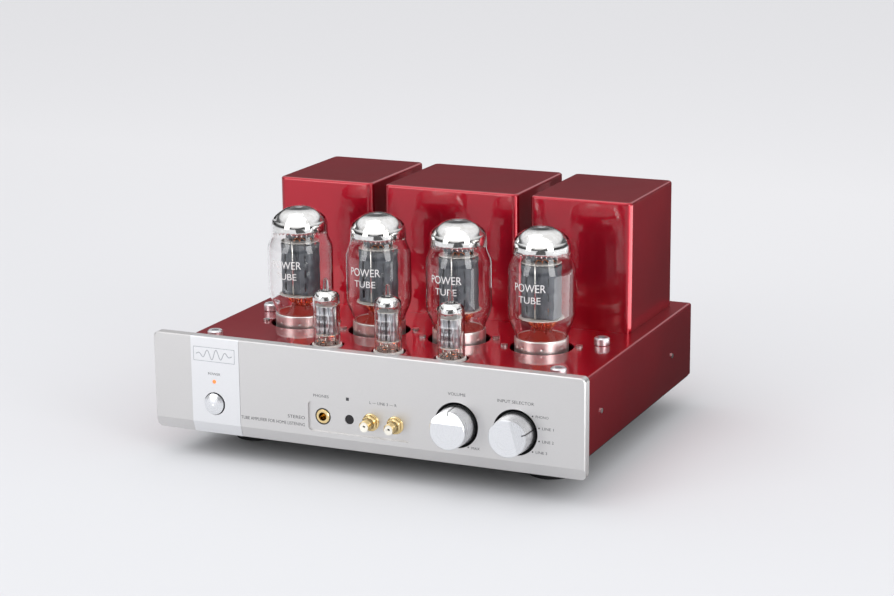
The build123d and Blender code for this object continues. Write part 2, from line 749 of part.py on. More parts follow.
def make_speaker_posts():
    """Metal posts through the rear wall, bored for a 4 mm plug and cross-drilled for bare wire."""
    reach = DEPTH / 2 - CHASSIS_BACK - 1.5
    with BuildPart() as posts:
        for seat in speaker_seats():
            with BuildSketch(seat.offset(-14.0)):
                Circle(SPEAKER_POST_R)
            extrude(amount=14.0 + reach)
            with BuildSketch(seat.offset(-SHEET)):
                RegularPolygon(radius=6.0, side_count=6)
                Circle(SPEAKER_POST_R, mode=Mode.SUBTRACT)
            extrude(amount=-2.5)
            with BuildSketch(seat.offset(reach)):
                Circle(SPEAKER_BORE_R)
            extrude(amount=-SPEAKER_BORE_LENGTH, mode=Mode.SUBTRACT)
        with BuildSketch(Plane.XY.offset(SPEAKER_Z)):
            with Locations(*[(x, CHASSIS_BACK + SPEAKER_WASHER + 2.2) for x in SPEAKER_X]):
                Circle(1.3)
        extrude(amount=SPEAKER_POST_R + 1.0, both=True, mode=Mode.SUBTRACT)
    return posts.part


def make_speaker_washers():
    """Insulating washers between the posts and the rear wall."""
    with BuildPart() as washers:
        for seat in speaker_seats():
            with BuildSketch(seat):
                Circle(SPEAKER_WASHER_R)
                Circle(SPEAKER_POST_R, mode=Mode.SUBTRACT)
            extrude(amount=SPEAKER_WASHER)
    return washers.part


def make_speaker_cap(x):
    """Fluted cap that screws down over a speaker post."""
    flutes = 12
    flute_r = 1.0
    seat = back_plane(CHASSIS_BACK + SPEAKER_WASHER + SPEAKER_CAP_GAP, x, SPEAKER_Z)
    length = DEPTH / 2 - CHASSIS_BACK - SPEAKER_WASHER - SPEAKER_CAP_GAP
    with BuildPart() as cap:
        with BuildSketch(seat):
            Circle(SPEAKER_CAP_R)
            with PolarLocations(SPEAKER_CAP_R + 0.3, flutes):
                Circle(flute_r, mode=Mode.SUBTRACT)
        extrude(amount=length)
        with BuildSketch(seat):
            Circle(SPEAKER_CAP_R)
        extrude(amount=3.0)
        with BuildSketch(seat):
            Circle(SPEAKER_POST_R + CLEAR)
        extrude(amount=length, mode=Mode.SUBTRACT)
    return cap.part


def make_mains_inlet():
    """Three-pin mains inlet: a flange on the rear wall, a cavity and its blades."""
    flange = 2.0
    body_depth = 24.0
    cavity_depth = 17.0
    cavity_width = 24.0
    cavity_height = 16.4
    corner = 4.5
    blade_reach = 14.5
    half_width = cavity_width / 2
    half_height = cavity_height / 2
    seat = back_plane(CHASSIS_BACK, INLET_X, INLET_Z)
    mouth = seat.offset(flange)
    with BuildPart() as inlet:
        with BuildSketch(seat):
            RectangleRounded(INLET_FLANGE_WIDTH, INLET_HEIGHT + 4.0, 4.0)
            with Locations((-INLET_SCREW_SPACING / 2, 0), (INLET_SCREW_SPACING / 2, 0)):
                Circle(SCREW_HOLE_R, mode=Mode.SUBTRACT)
        extrude(amount=flange)
        with BuildSketch(seat):
            Rectangle(INLET_WIDTH, INLET_HEIGHT)
        extrude(amount=-body_depth)
        with BuildSketch(mouth):
            with BuildLine():
                Polyline(
                    (-half_width, -half_height),
                    (half_width, -half_height),
                    (half_width, half_height - corner),
                    (half_width - corner, half_height),
                    (-half_width + corner, half_height),
                    (-half_width, half_height - corner),
                    close=True,
                )
            make_face()
        extrude(amount=-cavity_depth, mode=Mode.SUBTRACT)
        with BuildSketch(mouth.offset(-cavity_depth)):
            with Locations((-7.0, -2.0), (7.0, -2.0), (0.0, 4.0)):
                Rectangle(2.0, 4.0)
        extrude(amount=blade_reach)
    return inlet.part


# ---------------------------------------------------------------- tubes
def upright_plane(x, y):
    """An upright plane through a tube's axis: its own x is the radius, its own y is the height."""
    return Plane(origin=(x, y, 0), x_dir=(1, 0, 0), z_dir=(0, -1, 0))


def power_bulb_outline(x, inset):
    """Half outline of a power tube's bulb: dome, waist, shoulder, straight body and tapered neck."""
    top = POWER_TOP - inset
    dome = POWER_DOME_R - inset
    body = POWER_BODY_R - inset
    neck = POWER_NECK_R - inset
    low = POWER_BASE_TOP - 7.0
    with BuildSketch(upright_plane(x, POWER_TUBE_Y)) as outline:
        with BuildLine():
            Line((0, low), (0, top))
            Spline(
                (0, top),
                (0.6 * dome, top - 3.5),
                (0.9 * dome, top - 8.6),
                (dome, 161.0),
                tangents=((1, 0), (0, -1)),
            )
            Line((dome, 161.0), (dome, 156.5))
            Spline((dome, 156.5), (body, 142.0), tangents=((0, -1), (0, -1)))
            Line((body, 142.0), (body, 112.0))
            Spline((body, 112.0), (neck, POWER_BASE_TOP), tangents=((0, -1), (-0.2, -1)))
            Line((neck, POWER_BASE_TOP), (neck, low))
            Line((neck, low), (0, low))
        make_face()
    return outline.sketch


def make_power_tube_glass(x):
    """Blown glass bulb, open below where the base grips it."""
    axis = Axis((x, POWER_TUBE_Y, 0), ROTATION_AXIS_Z)
    with BuildPart() as glass:
        revolve(power_bulb_outline(x, 0.0), axis=axis)
        revolve(power_bulb_outline(x, POWER_GLASS), axis=axis, mode=Mode.SUBTRACT)
    return glass.part


def make_power_tube_base(x):
    """Metal shell round a moulded disc with eight pins and a keyed spigot."""
    wafer = 4.0
    shell_wall = POWER_BASE_R - POWER_NECK_R - CLEAR
    with BuildPart() as base:
        with BuildSketch(Plane.XY.offset(POWER_BASE_LOW)):
            with Locations((x, POWER_TUBE_Y)):
                Circle(POWER_BASE_R)
        extrude(amount=POWER_BASE_TOP - POWER_BASE_LOW)
        with BuildSketch(Plane.XY.offset(POWER_BASE_LOW + wafer)):
            with Locations((x, POWER_TUBE_Y)):
                Circle(POWER_BASE_R - shell_wall)
        extrude(amount=POWER_BASE_TOP - POWER_BASE_LOW - wafer, mode=Mode.SUBTRACT)
        with BuildSketch(Plane.XY.offset(POWER_BASE_LOW)):
            with Locations((x, POWER_TUBE_Y)):
                with PolarLocations(OCTAL_PIN_RING, 8):
                    Circle(OCTAL_PIN_R)
        extrude(amount=-OCTAL_PIN_LENGTH)
        with BuildSketch(Plane.XY.offset(POWER_BASE_LOW)):
            with Locations((x, POWER_TUBE_Y)):
                Circle(OCTAL_SPIGOT_R)
        extrude(amount=-OCTAL_SPIGOT_LENGTH)
        with BuildSketch(Plane.XY.offset(POWER_BASE_LOW)):
            with Locations((x, POWER_TUBE_Y + OCTAL_SPIGOT_R)):
                Rectangle(1.6, 1.6)
        extrude(amount=-OCTAL_SPIGOT_LENGTH)
    return base.part


def make_power_tube_electrodes(x):
    """Glass stem, support rods, insulating discs and the anode, as one assembly inside the bulb."""
    stem_low = POWER_BASE_LOW + 4.0
    stem_high = 98.0
    anode_low = 108.0
    anode_high = 147.0
    rod_top = 153.0
    rod_r = 1.0
    disc_r = 17.0
    disc_thick = 0.8
    with BuildPart() as electrodes:
        with BuildSketch(Plane.XY.offset(stem_low)):
            with Locations((x, POWER_TUBE_Y)):
                Circle(7.0)
        extrude(amount=stem_high - stem_low)
        with BuildSketch(Plane.XY.offset(stem_high - 4.0)):
            with Locations((x, POWER_TUBE_Y)):
                with GridLocations(9.0, 5.0, 2, 2):
                    Circle(rod_r)
        extrude(amount=rod_top - stem_high + 4.0)
        with BuildSketch(Plane.XY.offset(anode_low)):
            with Locations((x, POWER_TUBE_Y)):
                SlotOverall(29.0, 20.0)
        extrude(amount=anode_high - anode_low)
        for level in (anode_low - disc_thick, anode_high):
            with BuildSketch(Plane.XY.offset(level)):
                with Locations((x, POWER_TUBE_Y)):
                    Circle(disc_r)
            extrude(amount=disc_thick)
    return electrodes.part


def make_power_tube_sockets():
    """Ceramic sockets hung under the deck on two pillars each."""
    body_r = 16.0
    body_low = 60.0
    flange = 2.5
    pillar_r = 3.4
    ring = SOCKET_SCREW_RING
    with BuildPart() as sockets:
        for x in POWER_TUBE_X:
            centre = (x, POWER_TUBE_Y)
            ends = [circle_point(centre, ring, SOCKET_SCREW_TURN + side) for side in (0.0, 180.0)]
            with BuildSketch(Plane.XY.offset(body_low)):
                with Locations(centre):
                    Circle(body_r)
            extrude(amount=POWER_BASE_LOW - body_low)
            with BuildSketch(Plane.XY.offset(POWER_BASE_LOW)):
                with Locations(Location((*centre, 0), SOCKET_SCREW_TURN)):
                    SlotOverall(2 * (ring + pillar_r), 2 * pillar_r)
            extrude(amount=-flange)
            with BuildSketch(Plane.XY.offset(POWER_BASE_LOW - flange)):
                with Locations(*ends):
                    Circle(pillar_r)
            extrude(amount=CEILING - POWER_BASE_LOW + flange)
            with BuildSketch(Plane.XY.offset(CEILING)):
                with Locations(*ends):
                    Circle(SCREW_HOLE_R)
            extrude(amount=-(CEILING - POWER_BASE_LOW + flange), mode=Mode.SUBTRACT)
            with BuildSketch(Plane.XY.offset(POWER_BASE_LOW)):
                with Locations(centre):
                    with PolarLocations(OCTAL_PIN_RING, 8):
                        Circle(OCTAL_PIN_R + CLEAR)
                    Circle(OCTAL_SPIGOT_R + CLEAR)
                with Locations((x, POWER_TUBE_Y + OCTAL_SPIGOT_R)):
                    Rectangle(1.6 + 2 * CLEAR, 1.6 + 2 * CLEAR)
            extrude(amount=-(POWER_BASE_LOW - body_low), mode=Mode.SUBTRACT)
    return sockets.part


def small_bulb_outline(x, inset):
    """Half outline of a small tube's glass: straight wall, dome and the sealed tip."""
    wall = SMALL_GLASS_R - inset
    neck = SMALL_TIP_R + 0.5 - inset
    neck_height = SMALL_NECK - inset
    with BuildSketch(upright_plane(x, SMALL_TUBE_Y)) as outline:
        with BuildLine():
            Line((0, SMALL_SEAT), (0, neck_height + 0.5))
            Line((0, neck_height + 0.5), (neck, neck_height))
            Spline(
                (neck, neck_height),
                (0.72 * wall, neck_height - 1.9),
                (wall, SMALL_SHOULDER),
                tangents=((1, -0.15), (0, -1)),
            )
            Line((wall, SMALL_SHOULDER), (wall, SMALL_SEAT))
            Line((wall, SMALL_SEAT), (0, SMALL_SEAT))
        make_face()
    return outline.sketch


def make_small_tube_glass(x):
    """Small glass bulb with the drawn-off tip on top, open below."""
    axis = Axis((x, SMALL_TUBE_Y, 0), ROTATION_AXIS_Z)
    with BuildPart() as glass:
        revolve(small_bulb_outline(x, 0.0), axis=axis)
        revolve(small_bulb_outline(x, SMALL_GLASS), axis=axis, mode=Mode.SUBTRACT)
        with BuildSketch(upright_plane(x, SMALL_TUBE_Y)):
            with BuildLine():
                Line((0, SMALL_NECK - 0.5), (0, SMALL_TOP))
                ThreePointArc((0, SMALL_TOP), (SMALL_TIP_R * 0.75, SMALL_TOP - 0.8), (SMALL_TIP_R, SMALL_TOP - 2.2))
                Line((SMALL_TIP_R, SMALL_TOP - 2.2), (SMALL_TIP_R + 0.6, SMALL_NECK - 0.5))
                Line((SMALL_TIP_R + 0.6, SMALL_NECK - 0.5), (0, SMALL_NECK - 0.5))
            make_face()
        revolve(axis=axis)
    return glass.part


def make_small_tube_electrodes(x):
    """Glass button with nine pins, the two anodes and their insulating discs."""
    button_r = SMALL_GLASS_R - SMALL_GLASS - CLEAR
    disc_r = 8.0
    anode_low = 93.0
    anode_high = 116.0
    with BuildPart() as electrodes:
        with BuildSketch(Plane.XY.offset(SMALL_SEAT)):
            with Locations((x, SMALL_TUBE_Y)):
                Circle(button_r)
        extrude(amount=2.2)
        with BuildSketch(Plane.XY.offset(SMALL_SEAT)):
            for place in range(NOVAL_POSITIONS - 1):
                turn = place * 360.0 / NOVAL_POSITIONS
                with Locations(circle_point((x, SMALL_TUBE_Y), NOVAL_PIN_RING, turn)):
                    Circle(NOVAL_PIN_R)
        extrude(amount=-NOVAL_PIN_LENGTH)
        with BuildSketch(Plane.XY.offset(SMALL_SEAT + 2.0)):
            with Locations((x, SMALL_TUBE_Y)):
                with GridLocations(8.0, 5.0, 2, 2):
                    Circle(0.5)
        extrude(amount=anode_high + 3.0 - SMALL_SEAT - 2.0)
        with BuildSketch(Plane.XY.offset(anode_low)):
            with Locations((x - 3.6, SMALL_TUBE_Y), (x + 3.6, SMALL_TUBE_Y)):
                RectangleRounded(6.6, 9.0, 1.5)
        extrude(amount=anode_high - anode_low)
        for level in (anode_low - 0.6, anode_high):
            with BuildSketch(Plane.XY.offset(level)):
                with Locations((x, SMALL_TUBE_Y)):
                    Circle(disc_r)
            extrude(amount=0.6)
    return electrodes.part


def make_small_tube_sockets():
    """Nine-pin ceramic sockets that stand on the circuit board."""
    socket_r = 11.1
    with BuildPart() as sockets:
        for x in SMALL_TUBE_X:
            with BuildSketch(Plane.XY.offset(BOARD_TOP)):
                with Locations((x, SMALL_TUBE_Y)):
                    Circle(socket_r)
            extrude(amount=SMALL_SEAT - BOARD_TOP)
            with BuildSketch(Plane.XY.offset(SMALL_SEAT)):
                for place in range(NOVAL_POSITIONS - 1):
                    turn = place * 360.0 / NOVAL_POSITIONS
                    with Locations(circle_point((x, SMALL_TUBE_Y), NOVAL_PIN_RING, turn)):
                        Circle(NOVAL_PIN_R + CLEAR)
            extrude(amount=-(NOVAL_PIN_LENGTH + 2.0), mode=Mode.SUBTRACT)
    return sockets.part


# ---------------------------------------------------------------- electronics
def make_circuit_board():
    with BuildPart() as board:
        with BuildSketch(Plane.XY.offset(BOARD_TOP)):
            with Locations((0, BOARD_Y)):
                Rectangle(BOARD_WIDTH, BOARD_DEPTH)
            with Locations(*standoff_points()):
                Circle(SCREW_HOLE_R, mode=Mode.SUBTRACT)
        extrude(amount=-BOARD_THICK)
    return board.part


def make_filter_capacitors():
    """Four large electrolytic capacitors lying on the bottom cover."""
    can_r = 15.0
    can_length = 45.0
    with BuildPart() as capacitors:
        for x in (-95.0, -40.0):
            for y in (COVER_FRONT - 20.0, COVER_FRONT + 18.0):
                with BuildSketch(Plane.YZ.offset(x)):
                    with Locations((y, CHASSIS_LOW + can_r)):
                        Circle(can_r)
                extrude(amount=can_length)
    return capacitors.part


# ---------------------------------------------------------------- fasteners
def side_screw_seats():
    """Where the low-headed screws sit in the chassis sides."""
    return [side_plane(side * CHASSIS_WIDTH / 2, y, SIDE_SCREW_Z) for side in (-1, 1) for y in SIDE_SCREW_Y]


def screw_seats():
    """Each place where a larger screw head sits, as an outward-facing plane with the screw's length."""
    seats = []
    for x, y in socket_screw_points():
        seats.append((Plane(origin=(x, y, DECK)), 13.0))
    for side in (-1, 1):
        inlet_x = INLET_X + side * INLET_SCREW_SPACING / 2
        seats.append((back_plane(CHASSIS_BACK + 2.0, inlet_x, INLET_Z), 8.0))
    seats.append((back_plane(CHASSIS_BACK, GROUND_SCREW_X, SPEAKER_Z), 8.0))
    for x, y in bottom_screw_points():
        seats.append((Plane(origin=(x, y, BOTTOM_LOW), x_dir=(1, 0, 0), z_dir=(0, 0, -1)), 6.0))
    return seats


def make_fasteners():
    """Pan-head screws, and the standoffs that hold the circuit board."""
    slot_width = 0.7
    slot_depth = 0.7
    side_screw_length = 6.0
    with BuildPart() as fasteners:
        for seat, length in screw_seats():
            with BuildSketch(seat):
                Circle(SCREW_HEAD_R)
            extrude(amount=SCREW_HEAD)
            with BuildSketch(seat):
                Circle(SCREW_R)
            extrude(amount=-length)
            with BuildSketch(seat.offset(SCREW_HEAD)):
                Rectangle(2 * SCREW_HEAD_R, slot_width)
            extrude(amount=-slot_depth, mode=Mode.SUBTRACT)
        for seat in side_screw_seats():
            with BuildSketch(seat):
                Circle(LOW_HEAD_R)
            extrude(amount=LOW_HEAD)
            with BuildSketch(seat):
                Circle(SCREW_R)
            extrude(amount=-side_screw_length)
        with BuildSketch(Plane.XY.offset(BOARD_TOP)):
            with Locations(*standoff_points()):
                Circle(STANDOFF_R)
        extrude(amount=CEILING - BOARD_TOP)
    return fasteners.part


# ---------------------------------------------------------------- the whole amplifier
os.makedirs("parts", exist_ok=True)

save(make_chassis_shell(), "chassis_shell")
save(make_front_wall(), "front_wall")
save(make_rear_panel(), "rear_panel")
save(make_bottom_cover(), "bottom_cover")
save(make_transformer_cover(-SIDE_COVER_X, SIDE_COVER_WIDTH), "transformer_cover_left")
save(make_transformer_cover(0.0, CENTER_COVER_WIDTH), "transformer_cover_center")
save(make_transformer_cover(SIDE_COVER_X, SIDE_COVER_WIDTH), "transformer_cover_right")
save(make_transformer_cores(), "transformer_cores")
save(make_transformer_windings(), "transformer_windings")
save(make_cage_posts(), "cage_posts")
save(make_feet(), "feet")
save(make_foot_pads(), "foot_pads")

save(make_front_panel(), "front_panel")
save(make_badge_plate(), "badge_plate")
save(make_power_button(), "power_button")
save(make_power_switch(), "power_switch")
save(make_power_led(), "power_led")
save(make_knob(VOLUME_X, 0.0), "volume_knob")
save(make_control_shaft(VOLUME_X), "volume_shaft")
save(make_control_body(VOLUME_X, 12.5, [(12.5, 20.0), (9.0, 24.0)]), "volume_potentiometer")
save(make_knob(SELECTOR_X, SELECTOR_TURN), "selector_knob")
save(make_control_shaft(SELECTOR_X), "selector_shaft")
save(make_control_body(SELECTOR_X, 13.0, [(13.0, 16.0), (5.0, 3.0), (13.0, 2.0)]), "selector_switch")

save(make_headphone_jack(), "headphone_jack")
save(make_remote_sensor(), "remote_sensor")
save(make_phono_jacks(front_jack_seats()), "front_line_jacks")
save(make_phono_jacks(rear_jack_seats()), "rear_line_jacks")
save(make_jack_insulators(front_jack_seats() + rear_jack_seats()), "line_jack_insulators")
save(make_speaker_posts(), "speaker_posts")
save(make_speaker_washers(), "speaker_washers")
for number, x in enumerate(SPEAKER_X, start=1):
    save(make_speaker_cap(x), f"speaker_cap_{number}")
save(make_mains_inlet(), "mains_inlet")

for number, x in enumerate(POWER_TUBE_X, start=1):
    save(make_power_tube_glass(x), f"power_tube_{number}_glass")
    save(make_power_tube_base(x), f"power_tube_{number}_base")
    save(make_power_tube_electrodes(x), f"power_tube_{number}_electrodes")
save(make_power_tube_sockets(), "power_tube_sockets")
for number, x in enumerate(SMALL_TUBE_X, start=1):
    save(make_small_tube_glass(x), f"small_tube_{number}_glass")
    save(make_small_tube_electrodes(x), f"small_tube_{number}_electrodes")
save(make_small_tube_sockets(), "small_tube_sockets")
save(make_circuit_board(), "circuit_board")
save(make_filter_capacitors(), "filter_capacitors")
save(make_fasteners(), "fasteners")
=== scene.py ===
"""The looks of a tube amplifier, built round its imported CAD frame. Lengths are in metres."""
import json
import math

import bmesh
import bpy
from mathutils import Matrix, Vector


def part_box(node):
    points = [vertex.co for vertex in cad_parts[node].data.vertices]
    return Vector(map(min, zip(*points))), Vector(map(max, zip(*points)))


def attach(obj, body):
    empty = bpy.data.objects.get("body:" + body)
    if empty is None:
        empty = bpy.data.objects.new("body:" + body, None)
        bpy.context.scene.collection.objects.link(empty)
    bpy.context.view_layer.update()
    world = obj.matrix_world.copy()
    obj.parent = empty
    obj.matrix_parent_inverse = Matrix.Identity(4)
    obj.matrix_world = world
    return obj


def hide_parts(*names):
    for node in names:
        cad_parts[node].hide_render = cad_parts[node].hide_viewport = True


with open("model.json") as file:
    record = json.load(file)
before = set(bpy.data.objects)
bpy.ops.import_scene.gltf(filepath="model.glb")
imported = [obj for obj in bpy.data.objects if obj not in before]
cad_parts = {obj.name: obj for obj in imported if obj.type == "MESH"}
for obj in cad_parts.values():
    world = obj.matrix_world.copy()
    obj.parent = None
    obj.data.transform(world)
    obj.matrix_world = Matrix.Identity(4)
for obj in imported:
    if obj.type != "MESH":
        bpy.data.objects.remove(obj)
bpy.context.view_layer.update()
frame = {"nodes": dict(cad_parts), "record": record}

MM = 0.001


# ---------------------------------------------------------------- places taken from the frame
def middle(node):
    """Middle of a node's box."""
    low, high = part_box(node)
    return (low + high) / 2


def radius_of(node):
    low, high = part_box(node)
    return (high.x - low.x) / 2


PANEL_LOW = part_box("front_panel")[0]
PANEL_FACE = PANEL_LOW.y
BADGE_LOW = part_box("badge_plate")[0]
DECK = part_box("chassis_shell")[1].z
POWER_TUBES = [middle(f"power_tube_{n}_base") for n in range(1, 5)]
SMALL_TUBES = [middle(f"small_tube_{n}_glass") for n in range(1, 4)]
POWER_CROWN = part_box("power_tube_1_glass")[1].z
POWER_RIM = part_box("power_tube_1_base")[1].z
POWER_R = radius_of("power_tube_1_glass")
BASE_R = radius_of("power_tube_1_base")
SMALL_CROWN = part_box("small_tube_1_glass")[1].z
SMALL_R = radius_of("small_tube_1_glass")


# ---------------------------------------------------------------- material helpers
def principled(material):
    return material.node_tree.nodes["Principled BSDF"]


def new_material(name, color, metallic=0.0, roughness=0.5, **inputs):
    """A Principled material. Extra inputs are given by their socket names with spaces as underscores."""
    material = bpy.data.materials.new(name)
    material.use_nodes = True
    inputs.update(Base_Color=(*color, 1.0), Metallic=metallic, Roughness=roughness)
    for socket, value in inputs.items():
        principled(material).inputs[socket.replace("_", " ")].default_value = value
    return material


def add_node(material, kind, values=None, **settings):
    """A new node, with the values of its inputs and its own settings."""
    node = material.node_tree.nodes.new(kind)
    for name, value in settings.items():
        setattr(node, name, value)
    for socket, value in (values or {}).items():
        node.inputs[socket].default_value = value
    return node


def join(material, source, target):
    material.node_tree.links.new(source, target)


def place(material, stretch=(1.0, 1.0, 1.0), centre=(0.0, 0.0, 0.0)):
    """Coordinates in the piece's own space, less centre, stretched along each axis."""
    coords = add_node(material, "ShaderNodeTexCoord")
    shift = add_node(material, "ShaderNodeVectorMath", {1: centre}, operation="SUBTRACT")
    scale = add_node(material, "ShaderNodeVectorMath", {1: stretch}, operation="MULTIPLY")
    join(material, coords.outputs["Object"], shift.inputs[0])
    join(material, shift.outputs[0], scale.inputs[0])
    return scale.outputs[0]


def pattern(material, kind, vector=None, values=None, **settings):
    """A procedural texture, in the piece's own space unless another vector is given."""
    texture = add_node(material, kind, values, **settings)
    join(material, vector or place(material), texture.inputs["Vector"])
    return texture.outputs


def noise(material, scale, detail=3.0, vector=None, roughness=0.55):
    values = {"Scale": scale, "Detail": detail, "Roughness": roughness}
    return pattern(material, "ShaderNodeTexNoise", vector, values)["Fac"]


def stripes(material, direction, scale, distortion):
    values = {"Scale": scale, "Distortion": distortion}
    settings = {"wave_type": "BANDS", "bands_direction": direction}
    return pattern(material, "ShaderNodeTexWave", None, values, **settings)["Fac"]


def color_by(material, value, first, second, start=0.3, end=0.7):
    """Base colour that runs from first to second as value goes from start to end."""
    ramp = add_node(material, "ShaderNodeValToRGB")
    for element, position, color in zip(ramp.color_ramp.elements, (start, end), (first, second)):
        element.position = position
        element.color = (*color, 1.0)
    join(material, value, ramp.inputs["Fac"])
    join(material, ramp.outputs["Color"], principled(material).inputs["Base Color"])


def roughness_by(material, value, first, second, start=0.3, end=0.7):
    """Roughness that runs from first to second as value goes from start to end."""
    values = {"From Min": start, "From Max": end, "To Min": first, "To Max": second}
    remap = add_node(material, "ShaderNodeMapRange", values)
    join(material, value, remap.inputs["Value"])
    join(material, remap.outputs["Result"], principled(material).inputs["Roughness"])


def bump(material, height, distance, strength, sockets=("Normal",)):
    relief = add_node(material, "ShaderNodeBump", {"Strength": strength, "Distance": distance})
    join(material, height, relief.inputs["Height"])
    for socket in sockets:
        join(material, relief.outputs["Normal"], principled(material).inputs[socket])


def darker(color, share):
    return tuple(share * part for part in color)


# ---------------------------------------------------------------- materials
def red_paint():
    """Deep metallic red under clear lacquer, with fine flake and a trace of orange peel."""
    material = new_material(
        "red_paint", (0.44, 0.008, 0.022), 0.88, 0.36, Specular_IOR_Level=0.0,
        Coat_Weight=1.0, Coat_Roughness=0.015, Coat_IOR=1.5,
    )
    flake = pattern(material, "ShaderNodeTexVoronoi", None, {"Scale": 3200.0})["Distance"]
    color_by(material, flake, (0.50, 0.012, 0.032), (0.38, 0.007, 0.020), 0.0, 0.5)
    bump(material, noise(material, 420.0, 2.0), 0.00001, 0.35, ("Normal", "Coat Normal"))
    roughness_by(material, noise(material, 14.0, 4.0), 0.33, 0.39)
    return material


def blasted_aluminium(name, light, dark, roughness):
    """Anodised aluminium with a fine horizontal grain."""
    material = new_material(name, light, 1.0, roughness)
    grain = noise(material, 1.0, 2.0, place(material, (400.0, 400.0, 9000.0)), 0.5)
    speck = noise(material, 5200.0, 2.0)
    color_by(material, grain, dark, light, 0.2, 0.8)
    roughness_by(material, speck, roughness - 0.04, roughness + 0.05)
    bump(material, speck, 0.00001, 0.25)
    return material


def turned_aluminium(node):
    """Satin aluminium turned on a lathe: rings on the face, fine lines round the side."""
    centre = middle(node)
    material = new_material(f"{node}_aluminium", (0.80, 0.81, 0.83), 1.0, 0.26)
    length = add_node(material, "ShaderNodeVectorMath", operation="LENGTH")
    join(material, place(material, (1.0, 0.0, 1.0), centre), length.inputs[0])
    radius = add_node(material, "ShaderNodeCombineXYZ")
    join(material, length.outputs["Value"], radius.inputs["X"])
    rings = noise(material, 5200.0, 2.0, radius.outputs["Vector"])
    lines = noise(material, 4200.0, 2.0, place(material, (0.0, 1.0, 0.0), centre))
    both = add_node(material, "ShaderNodeMath", operation="ADD")
    join(material, rings, both.inputs[0])
    join(material, lines, both.inputs[1])
    color_by(material, rings, (0.83, 0.84, 0.86), (0.89, 0.90, 0.92))
    roughness_by(material, both.outputs[0], 0.25, 0.31, 0.7, 1.3)
    bump(material, both.outputs[0], 0.000005, 0.2)
    return material


def plated(name, light, dark, roughness, scale=180.0):
    """Plated metal with faint stains and polishing marks."""
    material = new_material(name, light, 1.0, roughness)
    stain = noise(material, scale, 5.0)
    color_by(material, stain, dark, light)
    roughness_by(material, stain, roughness + 0.05, roughness)
    bump(material, noise(material, scale * 9.0, 2.0, place(material, (1.0, 1.0, 9.0))), 0.000006, 0.2)
    return material


def moulded(name, color, roughness, scale=900.0, specular=0.5):
    """Moulded plastic or rubber with a fine spark-eroded texture."""
    material = new_material(name, color, 0.0, roughness, Specular_IOR_Level=specular)
    grain = noise(material, scale)
    color_by(material, noise(material, 40.0, 4.0), darker(color, 0.82), color)
    roughness_by(material, grain, roughness - 0.06, roughness + 0.08)
    bump(material, grain, 0.00002, 0.3)
    return material


def clear_glass():
    """Thin clear glass. Lamps shine through it, so that what it holds is lit."""
    material = new_material("tube_glass", (1.0, 1.0, 1.0), 0.0, 0.0, IOR=1.46, Transmission_Weight=1.0)
    bump(material, noise(material, 60.0, 2.0, place(material, (1.0, 1.0, 0.5))), 0.0002, 0.12)
    path = add_node(material, "ShaderNodeLightPath")
    through = add_node(material, "ShaderNodeBsdfTransparent", {"Color": (0.94, 0.95, 0.95, 1.0)})
    mix = add_node(material, "ShaderNodeMixShader")
    join(material, path.outputs["Is Shadow Ray"], mix.inputs[0])
    join(material, principled(material).outputs[0], mix.inputs[1])
    join(material, through.outputs[0], mix.inputs[2])
    join(material, mix.outputs[0], material.node_tree.nodes["Material Output"].inputs["Surface"])
    return material


def getter_mirror():
    """Barium film on the inside of the glass: mirror bright, a little browner in places."""
    material = new_material("getter_mirror", (0.86, 0.86, 0.85), 1.0, 0.03)
    cloud = noise(material, 220.0, 4.0)
    color_by(material, cloud, (0.78, 0.77, 0.74), (0.93, 0.93, 0.92))
    roughness_by(material, cloud, 0.02, 0.07)
    return material


def anode_plate():
    """Carbonised nickel sheet, slate grey with drawing marks."""
    material = new_material("anode_plate", (0.13, 0.14, 0.16), 0.35, 0.42)
    drawn = noise(material, 1.0, 3.0, place(material, (900.0, 900.0, 40.0)))
    color_by(material, noise(material, 160.0, 5.0), (0.045, 0.050, 0.060), (0.10, 0.108, 0.125))
    roughness_by(material, drawn, 0.36, 0.52)
    bump(material, drawn, 0.00002, 0.3)
    return material


def mica():
    """Split mica disc: milky, layered, partly clear."""
    material = new_material(
        "mica", (0.78, 0.75, 0.70), 0.0, 0.22,
        Transmission_Weight=0.35, Coat_Weight=0.5, Coat_Roughness=0.1,
    )
    layer = noise(material, 240.0, 5.0, place(material, (1.0, 1.0, 5.0)))
    color_by(material, layer, (0.60, 0.56, 0.50), (0.90, 0.88, 0.84))
    bump(material, layer, 0.00003, 0.4)
    return material


def glowing(name, color, glow, strength):
    material = new_material(name, color, 0.0, 0.4, Emission_Color=(*glow, 1.0), Emission_Strength=strength)
    color_by(material, noise(material, 900.0, 2.0), darker(color, 0.7), color)
    return material


def ceramic():
    material = new_material("ceramic", (0.80, 0.79, 0.75), 0.0, 0.28, Coat_Weight=0.6, Coat_Roughness=0.08)
    body = noise(material, 300.0, 4.0)
    color_by(material, body, (0.70, 0.69, 0.65), (0.86, 0.85, 0.82))
    bump(material, body, 0.00003, 0.25)
    return material


def laminations():
    """Edges of varnished steel sheets, stacked from front to back."""
    material = new_material("lamination", (0.10, 0.10, 0.11), 0.6, 0.5)
    sheets = stripes(material, "Y", 320.0, 0.6)
    color_by(material, sheets, (0.05, 0.05, 0.055), (0.16, 0.16, 0.17))
    bump(material, sheets, 0.0001, 0.5)
    return material


def winding():
    """Enamelled copper wire, layer on layer."""
    material = new_material("copper_winding", (0.52, 0.22, 0.09), 0.8, 0.32)
    turns = stripes(material, "Z", 260.0, 0.4)
    color_by(material, turns, (0.25, 0.09, 0.04), (0.62, 0.28, 0.12))
    bump(material, turns, 0.0002, 0.7)
    return material


